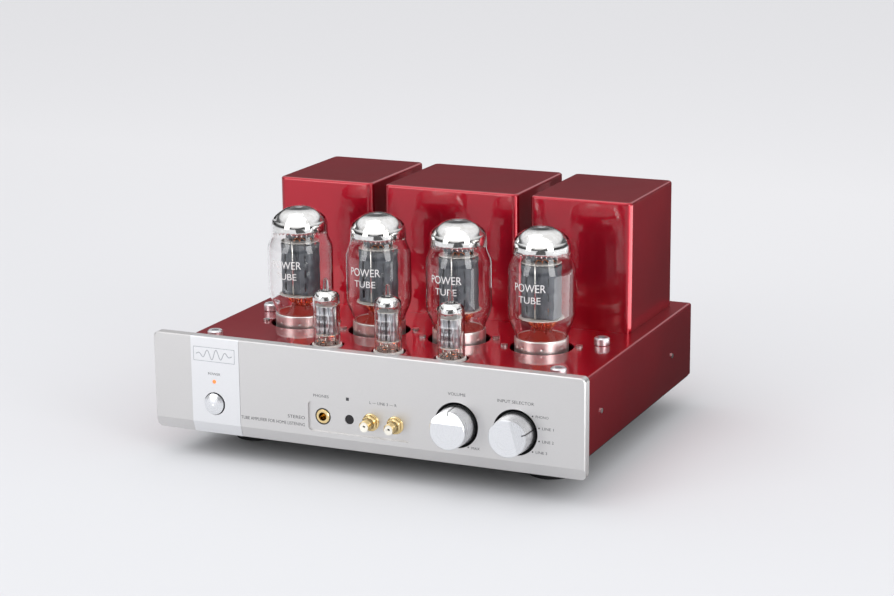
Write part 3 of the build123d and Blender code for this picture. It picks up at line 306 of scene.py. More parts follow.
def board():
    """Green circuit board with its woven glass showing through."""
    material = new_material("board", (0.02, 0.16, 0.06), 0.0, 0.35, Coat_Weight=0.5, Coat_Roughness=0.15)
    values = {
        "Scale": 260.0,
        "Color1": (0.018, 0.14, 0.055, 1.0),
        "Color2": (0.026, 0.19, 0.075, 1.0),
        "Mortar": (0.012, 0.10, 0.04, 1.0),
    }
    weave = pattern(material, "ShaderNodeTexBrick", None, values)["Color"]
    join(material, weave, principled(material).inputs["Base Color"])
    return material


def printing(name, color, roughness=0.6):
    """Screen-printed ink, slightly uneven."""
    material = new_material(name, color, 0.0, roughness)
    color_by(material, noise(material, 2500.0), darker(color, 0.85), color)
    return material


def card_material(name, strength):
    """Black card, or a card that shines evenly."""
    inputs = {"Emission_Color": (1.0, 1.0, 1.0, 1.0), "Emission_Strength": strength}
    return new_material(name, (0.01, 0.01, 0.01), 0.0, 0.8, **inputs)


def floor_material():
    """Matt pale floor, its colour painted a little lighter behind the amplifier as painted light."""
    material = new_material("studio_floor", (0.78, 0.78, 0.80), 0.0, 0.8, Specular_IOR_Level=0.0)
    split = add_node(material, "ShaderNodeSeparateXYZ")
    join(material, place(material), split.inputs["Vector"])
    # painted light: the floor's colour rises from front to back
    color_by(material, split.outputs["Y"], (0.63, 0.635, 0.65), (0.72, 0.72, 0.73), 0.0, 1.0)
    return material


NICKEL = plated("bright_metal", (0.86, 0.84, 0.80), (0.80, 0.77, 0.72), 0.10)
SATIN = plated("satin_nickel", (0.97, 0.96, 0.93), (0.92, 0.91, 0.88), 0.34, 300.0)
GOLD = plated("gold_metal", (0.96, 0.76, 0.40), (0.88, 0.66, 0.32), 0.16, 300.0)
COPPER = plated("copper_wire", (0.80, 0.32, 0.16), (0.60, 0.20, 0.09), 0.25, 500.0)
PALE_SHEET = plated("pale_sheet", (0.62, 0.63, 0.66), (0.46, 0.47, 0.50), 0.36, 260.0)
BLACK = moulded("black_plastic", (0.018, 0.018, 0.019), 0.45)
IVORY = moulded("ivory_plastic", (0.86, 0.83, 0.75), 0.3)
GLASS = clear_glass()
MIRROR = getter_mirror()
ANODE = anode_plate()
MICA = mica()
HEATER = glowing("heater_glow", (0.9, 0.3, 0.08), (1.0, 0.22, 0.04), 9.0)
# painted light: a faint glow that stands in for the heaters' light on the inside of the bases
PAINTED_GLOW = glowing("painted_heater_glow", (0.20, 0.015, 0.008), (1.0, 0.07, 0.02), 0.10)
DARK_INK = printing("dark_ink", (0.05, 0.05, 0.055))
GREY_INK = printing("engraving", (0.42, 0.43, 0.46), 0.4)
WHITE_INK = printing("white_ink", (0.86, 0.86, 0.86))

# the CAD nodes' finishes: each of these is named after its slot in the record
SLOT_FINISHES = (
    red_paint(), NICKEL, BLACK, GOLD, IVORY, GLASS, laminations(), winding(), ceramic(), board(),
    blasted_aluminium("panel_aluminium", (0.71, 0.70, 0.695), (0.67, 0.66, 0.655), 0.42),
    blasted_aluminium("badge_aluminium", (0.88, 0.885, 0.90), (0.84, 0.845, 0.86), 0.36),
    plated("zinc_steel", (0.66, 0.66, 0.65), (0.56, 0.56, 0.55), 0.28, 400.0),
    moulded("black_steel", (0.025, 0.025, 0.026), 0.38, 1600.0),
    moulded("rubber", (0.022, 0.022, 0.023), 0.78, 1500.0, 0.3),
    moulded("red_plastic", (0.45, 0.012, 0.012), 0.32),
    moulded("capacitor_sleeve", (0.02, 0.03, 0.06), 0.25),
    moulded("dark_lens", (0.012, 0.010, 0.012), 0.12, 300.0),
    glowing("led_lens", (0.75, 0.22, 0.06), (1.0, 0.22, 0.04), 0.75),
)
# Blender adds .001 to a name that is already taken
FINISHES = {material.name.split(".")[0]: material for material in SLOT_FINISHES}
FINISHES["anode_metal"] = ANODE
OWN_FINISH = {node: turned_aluminium(node) for node in ("volume_knob", "selector_knob", "power_button")}
OWN_FINISH["cage_posts"] = plated("post_aluminium", (0.86, 0.87, 0.89), (0.80, 0.81, 0.83), 0.34, 500.0)


def finish_nodes():
    """Give every CAD node the material of its slot, or its own."""
    slots = {part["node"]: part["material_slot"] for part in frame["record"]["subparts"]}
    for name, piece in frame["nodes"].items():
        material = OWN_FINISH.get(name) or FINISHES[slots[name]]
        for slot in piece.material_slots:
            slot.material = material


# ---------------------------------------------------------------- mesh helpers
def add_piece(name, mesh, material, body, smooth=True):
    """A new piece with the given material, which rides on a CAD body when one is given."""
    for face in mesh.polygons:
        face.use_smooth = smooth
    piece = bpy.data.objects.new(name, mesh)
    bpy.context.collection.objects.link(piece)
    mesh.materials.append(material)
    if body:
        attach(piece, body)
    return piece


def mesh_from(name, build):
    """A mesh made by a function that fills a bmesh."""
    made = bmesh.new()
    build(made)
    bmesh.ops.recalc_face_normals(made, faces=made.faces)
    mesh = bpy.data.meshes.new(name)
    made.to_mesh(mesh)
    made.free()
    return mesh


def build_piece(name, maker, material, body, *details, smooth=True):
    """A piece whose mesh is filled by its maker, with the given material."""
    mesh = mesh_from(name, lambda made: maker(made, *details))
    return add_piece(name, mesh, material, body, smooth)


def raised(profile, base=0.0):
    """A profile given in mm, with its heights above base."""
    return [(radius * MM, base + height * MM) for radius, height in profile]


def beside(centre, points):
    """Points given by their mm from an upright axis and their height in metres."""
    return [(centre[0] + x * MM, centre[1] + y * MM, z) for x, y, z in points]


def round_spot(centre, reach, turn, height):
    """The point at a distance and an angle from an upright axis."""
    return (centre[0] + reach * math.cos(turn), centre[1] + reach * math.sin(turn), height)


def front_spot(centre, reach, turn, height):
    """The same, with its angle measured from straight ahead."""
    return (centre[0] + reach * math.sin(turn), centre[1] - reach * math.cos(turn), height)


def ring_faces(made, low, high, skip=()):
    """Faces between two closed rings of vertices, except at the places to skip."""
    for step in range(len(low)):
        after = (step + 1) % len(low)
        if step not in skip:
            made.faces.new((low[step], low[after], high[after], high[step]))


def lathe(made, centre, profile, segments=72, reshape=None):
    """Turn a profile of (radius, height) round an upright axis. Radius 0 closes it with one point."""
    rows = []
    for radius, height in profile:
        if radius < 1e-7:
            rows.append([made.verts.new((centre[0], centre[1], height))])
            continue
        row = []
        for step in range(segments):
            turn = 2 * math.pi * step / segments
            r, z = reshape(radius, height, turn) if reshape else (radius, height)
            row.append(made.verts.new(round_spot(centre, r, turn, z)))
        rows.append(row)
    for low, high in zip(rows, rows[1:]):
        for step in range(segments):
            after = (step + 1) % segments
            ends = ((low, step), (low, after), (high, after), (high, step))
            corners = [row[index % len(row)] for row, index in ends]
            made.faces.new(list(dict.fromkeys(corners)))


def directions(points):
    """The direction of a line of points at each of them."""
    pairs = zip(points[:1] + points[:-1], points[1:] + points[-1:])
    return [(after - before).normalized() for before, after in pairs]


def rod(made, points, radius, sides=8):
    """A round wire along a line of points, closed at both ends. Its radius is in mm."""
    points = [Vector(point) for point in points]
    rings = []
    for point, along in zip(points, directions(points)):
        helper = Vector((0, 0, 1)) if abs(along.z) < 0.9 else Vector((1, 0, 0))
        side = along.cross(helper).normalized()
        other = along.cross(side)
        ring = []
        for step in range(sides):
            turn = 2 * math.pi * step / sides
            ring.append(made.verts.new(point + radius * MM * (math.cos(turn) * side + math.sin(turn) * other)))
        rings.append(ring)
    for low, high in zip(rings, rings[1:]):
        ring_faces(made, low, high)
    made.faces.new(rings[0])
    made.faces.new(rings[-1])


def upright_rod(made, centre, x, y, low, high, radius, sides=8):
    rod(made, beside(centre, [(x, y, low), (x, y, high)]), radius, sides)


def curved_wire(made, centre, corners, steps, radius):
    """A wire along a cubic curve, given by its start, two controls and its end beside an axis."""
    spots = [Vector(spot) for spot in beside(centre, corners)]
    points = []
    for step in range(steps + 1):
        t = step / steps
        weights = ((1 - t) ** 3, 3 * t * (1 - t) ** 2, 3 * t * t * (1 - t), t ** 3)
        points.append(sum((weight * spot for weight, spot in zip(weights, spots)), Vector()))
    rod(made, points, radius)


def getter_ring(made, centre, x, reach, height, radius):
    """Small upright-axis ring of wire that carried the getter."""
    turns = [2 * math.pi * step / 24 for step in range(25)]
    loop = [(x + reach * math.cos(turn), reach * math.sin(turn), height) for turn in turns]
    rod(made, beside(centre, loop), radius)


def block(made, low, high):
    """A box between two corners."""
    size = Vector(high) - Vector(low)
    where = Matrix.Translation((Vector(low) + Vector(high)) / 2) @ Matrix.Diagonal((*size, 1.0))
    bmesh.ops.create_cube(made, size=1.0, matrix=where)


def bar(made, centre, x, y, half_width, half_depth, low, high):
    """An upright bar beside an axis: its place and half sizes in mm, its ends in metres."""
    corners = [(x - half_width, y - half_depth, low), (x + half_width, y + half_depth, high)]
    block(made, *beside(centre, corners))


def rounded_outline(half_width, half_depth, corner, steps):
    """Points round a rectangle with round corners, starting at the middle of its right side."""
    points = []
    for quarter, (sx, sy) in enumerate(((1, 1), (-1, 1), (-1, -1), (1, -1))):
        for step in range(steps + 1):
            turn = math.pi / 2 * (quarter + step / steps)
            x = sx * (half_width - corner) + corner * math.cos(turn)
            y = sy * (half_depth - corner) + corner * math.sin(turn)
            points.append((x, y))
    return points


def even_points(points, count):
    """The same closed outline with its points evenly spaced."""
    closed = [Vector(point) for point in points + points[:1]]
    lengths = [(b - a).length for a, b in zip(closed, closed[1:])]
    spaced = []
    for index in range(count):
        reach = sum(lengths) * index / count
        for start, end, length in zip(closed, closed[1:], lengths):
            if reach <= length:
                spaced.append(start.lerp(end, reach / max(length, 1e-9)))
                break
            reach -= length
    return spaced


def sheet_rings(made, centre, outline, low, high, swells):
    """Rings of an upright sheet sleeve, evenly spaced from low to high, each with its own swell."""
    step_up = (high - low) / (len(swells) - 1)
    rings = []
    for row, swell in enumerate(swells):
        height = low + row * step_up
        spots = [(centre[0] + spot.x * swell, centre[1] + spot.y * swell, height) for spot in outline]
        rings.append([made.verts.new(spot) for spot in spots])
    return rings


def toothed_disc(made, centre, height, radius, thickness, teeth):
    """A punched insulating disc whose edge has small teeth that grip the bulb."""
    steps = teeth * 4
    rings = []
    for level in (height, height + thickness):
        ring = []
        for step in range(steps):
            reach = radius * (1.0 if step % 4 in (0, 1) else 0.955)
            ring.append(made.verts.new(round_spot(centre, reach, 2 * math.pi * step / steps, level)))
        made.faces.new(ring)
        rings.append(ring)
    ring_faces(made, *rings)


def soften(piece, width):
    """Round a piece's sharp edges."""
    modifier = piece.modifiers.new("edges", "BEVEL")
    modifier.width = width
    modifier.segments = 2
    modifier.limit_method = "ANGLE"
    modifier.angle_limit = math.radians(35)


def thicken(piece, thickness):
    """Give a sheet its thickness, inwards."""
    modifier = piece.modifiers.new("sheet", "SOLIDIFY")
    modifier.thickness = thickness
    modifier.offset = -1.0


# ---------------------------------------------------------------- lettering
INK_DEPTH = 0.04 * MM
INK_LIFT = 0.06 * MM  # of the print over a bulb's glass
DOT_R = 0.6 * MM
LABELS = (  # piece, words, middle across and up, width and height, all in mm
    ("volume", "VOLUME", 75.5, 72.5, 13.6, 2.2),
    ("selector", "INPUT SELECTOR", 120.6, 71.7, 27.8, 2.2),
    ("phones", "PHONES", -32.5, 59.2, 12.6, 2.1),
    ("line_in", "L — LINE 3 — R", 17.6, 58.7, 21.6, 2.1),
    ("stereo", "STEREO", -53.2, 41.0, 14.2, 2.4),
    ("kind", "TUBE AMPLIFIER FOR HOME LISTENING", -72.8, 35.7, 53.0, 2.4),
    ("max", "MAX", 89.9, 34.0, 6.4, 1.9),
)
CHOICES = (  # words beside the selector: their dot across and up, and their width, in mm
    ("PHONO", 133.3, 62.9, 9.6),
    ("LINE 1", 138.2, 54.7, 8.6),
    ("LINE 2", 138.2, 45.2, 8.6),
    ("LINE 3", 133.3, 36.9, 8.6),
)


def text_mesh(name, words, width, height, thickness=0.0):
    """Flat lettering of a stated width and height, centred on the origin in X and Y."""
    curve = bpy.data.curves.new(name, "FONT")
    curve.body = words
    curve.extrude = thickness / 2
    curve.resolution_u = 4
    holder = bpy.data.objects.new(name + "_curve", curve)
    bpy.context.collection.objects.link(holder)
    bpy.context.view_layer.update()
    mesh = bpy.data.meshes.new_from_object(holder)
    bpy.data.objects.remove(holder)
    bpy.data.curves.remove(curve)
    xs = [vertex.co.x for vertex in mesh.vertices]
    ys = [vertex.co.y for vertex in mesh.vertices]
    centre = Vector(((min(xs) + max(xs)) / 2, (min(ys) + max(ys)) / 2, 0))
    scale_x = width / (max(xs) - min(xs))
    scale_y = height / (max(ys) - min(ys))
    for vertex in mesh.vertices:
        off = vertex.co - centre
        vertex.co = (off.x * scale_x, off.y * scale_y, off.z)
    mesh.name = name
    return mesh


def print_on_bulb(body, words, ink, centre, radius, middle_z, height, width):
    """Lettering wrapped round the front of a bulb."""
    name = f"{body}_print_{words.lower()}"
    mesh = text_mesh(name, words, width, height)
    made = bmesh.new()
    made.from_mesh(mesh)
    cuts = 24
    for cut in range(1, cuts):
        x = width * (cut / cuts - 0.5)
        geometry = made.verts[:] + made.edges[:] + made.faces[:]
        bmesh.ops.bisect_plane(made, geom=geometry, plane_co=(x, 0, 0), plane_no=(1, 0, 0))
    for vertex in made.verts:
        turn = vertex.co.x / radius
        vertex.co = front_spot(centre, radius + INK_LIFT, turn, middle_z + vertex.co.y)
    made.to_mesh(mesh)
    made.free()
    add_piece(name, mesh, ink, body, smooth=False)


def panel_text(label, words, x, z, width, height, face=PANEL_FACE):
    """Lettering printed on the front panel or the badge plate. Its place and size are in mm."""
    name = f"label_{label}"
    mesh = text_mesh(name, words, width * MM, height * MM, INK_DEPTH)
    for vertex in mesh.vertices:
        flat = vertex.co.copy()
        vertex.co = (x * MM + flat.x, face - flat.z, z * MM + flat.y)
    add_piece(name, mesh, DARK_INK, "chassis", smooth=False)


def printed_dot(made, x, z):
    where = Matrix.Translation((x * MM, PANEL_FACE, z * MM)) @ Matrix.Rotation(math.pi / 2, 4, "X")
    bmesh.ops.create_cone(
        made, cap_ends=True, segments=24, radius1=DOT_R, radius2=DOT_R, depth=INK_DEPTH, matrix=where
    )


def panel_mark(name, maker, material, *details):
    build_piece(name, maker, material, "chassis", *details, smooth=False)


def ribbon(made, points, width, y):
    """A flat line along points in the X-Z plane, as thick as ink."""
    points = [Vector(point) for point in points]
    lefts, rights = [], []
    for point, along in zip(points, directions(points)):
        side = Vector((-along.y, along.x)) * width / 2
        for spot, row in ((point + side, lefts), (point - side, rights)):
            row.append([made.verts.new((spot.x, level, spot.y)) for level in (y, y + INK_DEPTH)])
    for index in range(len(points) - 1):
        left, next_left = lefts[index:index + 2]
        right, next_right = rights[index:index + 2]
        for level in (0, 1):
            made.faces.new((left[level], next_left[level], next_right[level], right[level]))
        for first, last in ((left, next_left), (right, next_right)):
            made.faces.new((first[0], last[0], last[1], first[1]))


def badge_emblem(made):
    """A plain framed sine wave, engraved in the badge plate."""
    left = BADGE_LOW.x + 2.3 * MM
    right = left + 34.6 * MM
    low = PANEL_LOW.z + 56.0 * MM
    high = low + 10.6 * MM
    margin = 2 * MM
    y = BADGE_LOW.y - INK_DEPTH / 2
    corners = [(left, low), (right, low), (right, high), (left, high)]
    for first, last in zip(corners, corners[1:] + corners[:1]):
        ribbon(made, [first, last], 0.45 * MM, y)
    wave = []
    for step in range(97):
        share = step / 96
        swing = 3.9 * MM * math.sin(share * 2 * math.pi * 4) * math.sin(share * math.pi)
        wave.append((left + margin + share * (right - left - 2 * margin), (low + high) / 2 + swing))
    ribbon(made, wave, 0.7 * MM, y)


def sensor_icon(made):
    """A small dark square over the remote sensor."""
    x, z = -11.0 * MM, 59.2 * MM
    half = 1.2 * MM
    ink = INK_DEPTH / 2
    block(made, (x - half, PANEL_FACE - ink, z - half), (x + half, PANEL_FACE + ink, z + half))


def build_front_marks():
    small_print = 1.9
    panel_text("power", "POWER", -121.1, 66.3, 10.5, small_print, BADGE_LOW.y)
    for label in LABELS:
        panel_text(*label)
    panel_mark("mark_max", printed_dot, DARK_INK, 84.2, 34.3)
    for index, (words, x, z, width) in enumerate(CHOICES, start=1):
        panel_mark(f"mark_input_{index}", printed_dot, DARK_INK, x, z)
        panel_text(f"input_{index}", words, x + 2.4 + width / 2, z, width, small_print)
    panel_mark("badge_emblem", badge_emblem, GREY_INK)
    panel_mark("sensor_mark", sensor_icon, DARK_INK)


# ---------------------------------------------------------------- power tubes
FILM_EDGE = POWER_RIM + 64.0 * MM  # where the silvered film ends
FILM_R = POWER_R - 4.9 * MM
FILM_CROWN = POWER_CROWN - 1.3 * MM
FILM_SHOULDER = POWER_CROWN - 15.2 * MM
LOW_MICA = POWER_RIM + 14.2 * MM
ANODE_LOW = POWER_RIM + 15.0 * MM
ANODE_HIGH = POWER_RIM + 54.0 * MM
HIGH_MICA = POWER_RIM + 56.0 * MM
MICA_R = 17.0 * MM
MICA_SHEET = 0.5 * MM
BEADS = 34
BASE_LOW = DECK - 10.4 * MM  # lower edge of the base's sleeve
PIN_CIRCLE = 8.75 * MM


def dome_profile(steps=14):
    """The film from its lower edge up to the crown, fuller at the shoulder than a circle."""
    points = [(FILM_R, FILM_EDGE), (FILM_R, (FILM_EDGE + FILM_SHOULDER) / 2)]
    for step in range(steps):
        turn = math.pi / 2 * step / steps
        lift = (FILM_CROWN - FILM_SHOULDER) * math.sin(turn) ** 1.06
        points.append((FILM_R * math.cos(turn) ** 0.86, FILM_SHOULDER + lift))
    return points + [(0.0, FILM_CROWN)]


def silver_dome(made, centre):
    """Mirror film inside the dome, with a scalloped edge and beads of metal along it."""
    def drift(turn):
        return 0.5 * math.sin(5 * turn + centre[0] * 90)

    def scallop(radius, height, turn):
        if height > FILM_EDGE + 0.1 * MM:
            return radius, height
        dip = 0.7 * math.cos(BEADS * turn) + drift(turn) + 0.3 * math.sin(11 * turn)
        return radius, height + dip * MM

    lathe(made, centre, dome_profile(), 4 * BEADS, scallop)
    for bead in range(BEADS):
        turn = 2 * math.pi * (bead + 0.5) / BEADS
        size = (0.45 + 0.2 * math.sin(7.0 * bead)) * MM
        height = FILM_EDGE - (0.8 - drift(turn)) * MM
        spot = Matrix.Translation(round_spot(centre, FILM_R - 0.2 * MM, turn, height))
        bmesh.ops.create_icosphere(made, subdivisions=2, radius=size, matrix=spot)


def anode_wall(made, centre):
    """Anode sheet: a flattened sleeve with stiffening ribs and columns of cooling slots cut through it."""
    rows = 39
    slot_period, slot_rows = 11, range(3, 9)
    outline = even_points(rounded_outline(14.2 * MM, 9.6 * MM, 6.5 * MM, 8), 96)
    columns = set()
    for index, spot in enumerate(outline):
        if abs(abs(spot.x) - 8.6 * MM) < 0.55 * MM and abs(spot.y) > 8.0 * MM:
            columns.add(index)
    swells = [1.0 + 0.012 * math.cos(2 * math.pi * row / rows * 3) for row in range(rows + 1)]
    rings = sheet_rings(made, centre, outline, ANODE_LOW, ANODE_HIGH, swells)
    for row, (low, high) in enumerate(zip(rings, rings[1:])):
        ring_faces(made, low, high, columns if row % slot_period in slot_rows else ())


def anode_fins(made, centre):
    """Folded flanges at the front and back, where the anode's two halves are joined."""
    for side in (-1, 1):
        bar(made, centre, 0.0, side * 10.8, 0.35, 1.4, ANODE_LOW, ANODE_HIGH)
        for x in (-3.2, 3.2):
            bar(made, centre, x, side * 9.75, 0.25, 0.25, ANODE_LOW, ANODE_HIGH)


def support_rods(made, centre):
    """Nickel rods that carry the cage, the seam rods and the getters with their struts."""
    for x in (-4.5, 4.5):
        for y in (-2.5, 2.5):
            upright_rod(made, centre, x, y, POWER_RIM + 2 * MM, HIGH_MICA + 2 * MM, 0.5, 10)
    for y in (-13.0, 13.0):
        upright_rod(made, centre, 0.0, y, LOW_MICA - 1 * MM, FILM_EDGE + 2 * MM, 0.55, 10)
    for x in (-12.0, 12.0):
        upright_rod(made, centre, x, 0.0, ANODE_HIGH, FILM_EDGE + 3 * MM, 0.45, 10)
    for x in (-7.5, 7.5):
        getter_ring(made, centre, x, 3.6, FILM_EDGE + 2.5 * MM, 0.5)


def top_radiators(made, centre):
    """Folded cooling plates on the grid rods, above the upper disc."""
    low = HIGH_MICA + 0.6 * MM
    high = low + 5.2 * MM
    for side in (-1, 1):
        for y in (-3.2, 3.2):
            bar(made, centre, side * 6.2, y, 4.0, 0.2, low, high)
        bar(made, centre, side * 2.2, 0.0, 0.2, 3.4, low, high)


def grid_wires(made, centre):
    """Copper side rods of the grids, bent over above the upper disc, and the leads below."""
    for x, y, reach in ((-2.4, -5.6, 3.5), (2.6, -5.6, 4.5), (5.4, -1.0, 5.0), (-5.4, 1.0, 4.0)):
        bend = HIGH_MICA + reach * MM
        start = (x, y, HIGH_MICA - 1 * MM)
        end = (x + 4.5, y + 1.5, HIGH_MICA + 1 * MM)
        curved_wire(made, centre, (start, (x, y, bend), (x + 2.5, y, bend), end), 8, 0.42)
    leads = 8
    for lead in range(leads):
        turn = 2 * math.pi * (lead + 0.3) / leads
        across, along = math.cos(turn), math.sin(turn)
        outer = 11.5 if lead % 2 else 8.5
        corners = (
            (5.12 * across, 1.6 * along, POWER_RIM + 4.5 * MM),
            (7.04 * across, 3.84 * along, POWER_RIM + 9.0 * MM),
            (outer * across, outer * along, POWER_RIM + 8.5 * MM),
            (outer * across, outer * along, LOW_MICA),
        )
        curved_wire(made, centre, corners, 9, 0.45)


def heater_ends(made, centre):
    """Glowing ends of the heaters, below the lower insulating disc."""
    top, bottom = LOW_MICA + 0.4 * MM, LOW_MICA - 3.2 * MM
    for x in (-3.0, 0.0, 3.0):
        corners = ((x - 1.0, -1.0, top), (x - 1.2, -2.0, bottom), (x + 1.2, -2.0, bottom), (x + 1.0, -1.0, top))
        curved_wire(made, centre, corners, 10, 0.38)


def stem(made, centre):
    """Flared glass stem, pressed flat round the leads."""
    def press(radius, height, turn):
        share = min(max((height - POWER_RIM + 2 * MM) / (8 * MM), 0.0), 1.0)
        return radius * (1.0 - 0.62 * share * abs(math.sin(turn))), height

    flare = [(17.2, -5.0), (14.0, -3.4), (11.0, -0.5), (9.2, 3.0), (8.6, 5.4), (7.6, 6.2), (0.0, 6.4)]
    lathe(made, centre, raised(flare, POWER_RIM), 48, press)


def painted_glow_bowl(made, centre):
    """The inside of the base, with the heaters' light on it painted as a faint glow."""
    lathe(made, centre, raised([(18.2, -0.3), (16.6, -1.6), (12.0, -2.4), (0.0, -2.6)], POWER_RIM), 48)


def lead_fan(made, centre, first, radius):
    """Every second wire, from the first, of those that spread from the stem to the electrodes."""
    turns_apart = math.pi / 9
    for wire in range(first, 18, 2):
        turn = turns_apart * wire + 0.35
        across, along = math.cos(turn), math.sin(turn)
        low = 5.2 + 1.1 * math.sin(2.7 * wire)
        reach = 9.0 + 3.6 * math.sin(1.9 * wire)
        corners = (
            (low * across, 0.45 * low * along, POWER_RIM + 4.6 * MM),
            (low * across, 0.45 * low * along, POWER_RIM + 8.0 * MM),
            (reach * across, reach * along, POWER_RIM + 7.6 * MM),
            (reach * across, reach * along, LOW_MICA + 0.3 * MM),
        )
        curved_wire(made, centre, corners, 10, radius)


def base_sleeve(made, centre):
    """Nickel-plated sleeve with a rolled rim, crimped into dimples all round."""
    dimples = 8
    dimple_height = POWER_RIM - 5.6 * MM
    dimple_r, dimple_depth = 1.3 * MM, 0.55 * MM
    roll_r = 0.55 * MM
    roll_height = POWER_RIM - 2 * roll_r

    def crimp(r, z, turn):
        nearest = round(turn * dimples / (2 * math.pi) - 0.5) + 0.5
        across = (turn - nearest * 2 * math.pi / dimples) * BASE_R
        off = math.hypot(across, z - dimple_height) / dimple_r
        if off >= 1.0 or r < BASE_R - 0.1 * MM:
            return r, z
        return r - dimple_depth * (1 - off * off) ** 2, z

    profile = [(BASE_R - 0.7 * MM, BASE_LOW + 1 * MM), (BASE_R, BASE_LOW)]
    steps = 34
    for step in range(1, steps + 1):
        profile.append((BASE_R, BASE_LOW + (roll_height - BASE_LOW) * step / steps))
    for turn in (30, 60, 90, 130, 180):
        angle = math.radians(turn)
        profile.append((BASE_R - roll_r + roll_r * math.cos(angle), roll_height + 2 * roll_r * math.sin(angle)))
    profile.append((BASE_R - 2 * roll_r, BASE_LOW + 1 * MM))
    lathe(made, centre, profile, 192, crimp)


def base_wafer(made, centre):
    """Moulded disc under the sleeve, and the keyed spigot."""
    disc = [(0.0, 4.0), (19.2, 4.0), (19.2, 0.6), (18.6, 0.0), (4.4, 0.0)]
    spigot = [(4.0, -0.5), (4.0, -12.2), (3.3, -13.0), (0.0, -13.0)]
    lathe(made, centre, raised(disc + spigot, BASE_LOW), 64)
    bar(made, centre, 0.0, 4.1, 0.8, 0.7, BASE_LOW - 12.6 * MM, BASE_LOW + 0.5 * MM)


def base_pins(made, centre):
    """Eight hollow pins with soldered, rounded tips, each in a boss."""
    boss = [(0.0, 0.5), (1.7, 0.5), (1.7, -0.4)]
    shank = [(1.19, -0.9), (1.19, -9.9), (0.75, -10.7), (0.0, -10.95)]
    for pin in range(8):
        spot = round_spot(centre, PIN_CIRCLE, math.pi / 4 * pin, 0.0)
        lathe(made, spot, raised(boss + shank, BASE_LOW), 16)


FLAT_PARTS = ("fins", "low_mica", "high_mica", "radiators", "wafer", "frame")  # shaded without smoothing


def build_tube_parts(body, spot, parts):
    """Build one tube's pieces, each from its name, maker, material and the maker's details."""
    built = {}
    for part, maker, material, *details in parts:
        smooth = part not in FLAT_PARTS
        built[part] = build_piece(f"{body}_{part}", maker, material, body, spot, *details, smooth=smooth)
    return built


def build_power_tube(number, centre):
    body = f"power_tube_{number}"
    spot = (centre.x, centre.y)
    parts = (
        ("silver", silver_dome, MIRROR),
        ("anode", anode_wall, ANODE),
        ("fins", anode_fins, ANODE),
        ("low_mica", toothed_disc, MICA, LOW_MICA, MICA_R, MICA_SHEET, 26),
        ("high_mica", toothed_disc, MICA, HIGH_MICA, MICA_R - 2.2 * MM, MICA_SHEET, 26),
        ("rods", support_rods, NICKEL),
        ("radiators", top_radiators, ANODE),
        ("leads", grid_wires, COPPER),
        ("heaters", heater_ends, HEATER),
        ("stem", stem, GLASS),
        ("glow", painted_glow_bowl, PAINTED_GLOW),
        ("fan", lead_fan, NICKEL, 0, 0.34),
        ("copper_fan", lead_fan, COPPER, 1, 0.42),
        ("sleeve", base_sleeve, SATIN),
        ("wafer", base_wafer, BLACK),
        ("pins", base_pins, NICKEL),
    )
    built = build_tube_parts(body, spot, parts)
    thicken(built["silver"], 0.08 * MM)
    thicken(built["anode"], 0.5 * MM)
    soften(built["fins"], 0.12 * MM)
    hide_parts(f"{body}_electrodes")
    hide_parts(f"{body}_base")
    print_on_bulb(body, "POWER", WHITE_INK, spot, POWER_R, POWER_RIM + 41.5 * MM, 6.0 * MM, 25.0 * MM)
    print_on_bulb(body, "TUBE", WHITE_INK, spot, POWER_R, POWER_RIM + 32.5 * MM, 5.0 * MM, 17.5 * MM)


# ---------------------------------------------------------------- front jacks and knobs
POCKET_FLOOR = PANEL_FACE + 1.6 * MM
JACK_HEIGHT = 43.4 * MM
JACK_PLACES = (6.8 * MM, 26.3 * MM)
PHONES_PLACE = -32.0 * MM
SELECTOR_TURN = math.radians(75.0)  # of the pointer, from straight up


def turned_forward(made, x, z, profile, segments, reshape=None):
    """A lathe piece whose axis comes straight out of the pocket floor."""
    start = len(made.verts)
    lathe(made, (0.0, 0.0), profile, segments, reshape)
    made.verts.ensure_lookup_table()
    for vertex in made.verts[start:]:
        across, up, out = vertex.co
        vertex.co = (x + across, POCKET_FLOOR - out, z + up)


def jack_shell(made):
    """Gold washer, hexagonal nut, threaded barrel and slimmer nose of each phono jack."""
    def hexagon(radius, out, turn):
        if 0.95 * MM < out < 3.7 * MM and radius > 5.0 * MM:
            off = (turn + math.pi / 6) % (math.pi / 3) - math.pi / 6
            return radius / math.cos(off), out
        return radius, out

    washer = [(6.5, 0.05), (6.6, 0.3), (6.5, 0.7), (6.0, 0.9)]
    nut = [(5.1, 1.0), (5.2, 1.2), (5.2, 3.4), (5.05, 3.65)]
    thread = []
    for ridge in range(5):
        out = 3.9 + 0.75 * ridge
        thread += [(3.85, out), (4.15, out + 0.35)]
    nose = [(3.85, 7.7), (3.85, 11.6), (3.7, 11.95), (3.45, 11.95), (3.3, 11.7), (3.3, 9.0)]
    for x in JACK_PLACES:
        turned_forward(made, x, JACK_HEIGHT, raised(washer + nut + thread + nose), 72, hexagon)


def jack_nose(made):
    """Ivory insulator in each phono jack, open in the middle."""
    profile = raised([(3.25, 11.0), (3.2, 11.5), (3.0, 11.6), (1.3, 11.6), (1.05, 11.4), (1.05, 6.0)])
    for x in JACK_PLACES:
        turned_forward(made, x, JACK_HEIGHT, profile, 40)


def jack_hole_shade_and_gap(made):
    """Black disc just inside each phono jack, as painted shade of its hole, and a dark ring for the gap round
    the headphone socket.
    """
    # painted shade: a black disc closes each bore about a millimetre inside its mouth
    for x in JACK_PLACES:
        turned_forward(made, x, JACK_HEIGHT, raised([(1.05, 10.6), (0.0, 10.5)]), 24)
    ring = raised([(6.25, 0.02), (6.2, 0.14), (5.5, 0.14), (5.3, 0.02)])
    turned_forward(made, PHONES_PLACE, JACK_HEIGHT, ring, 64)


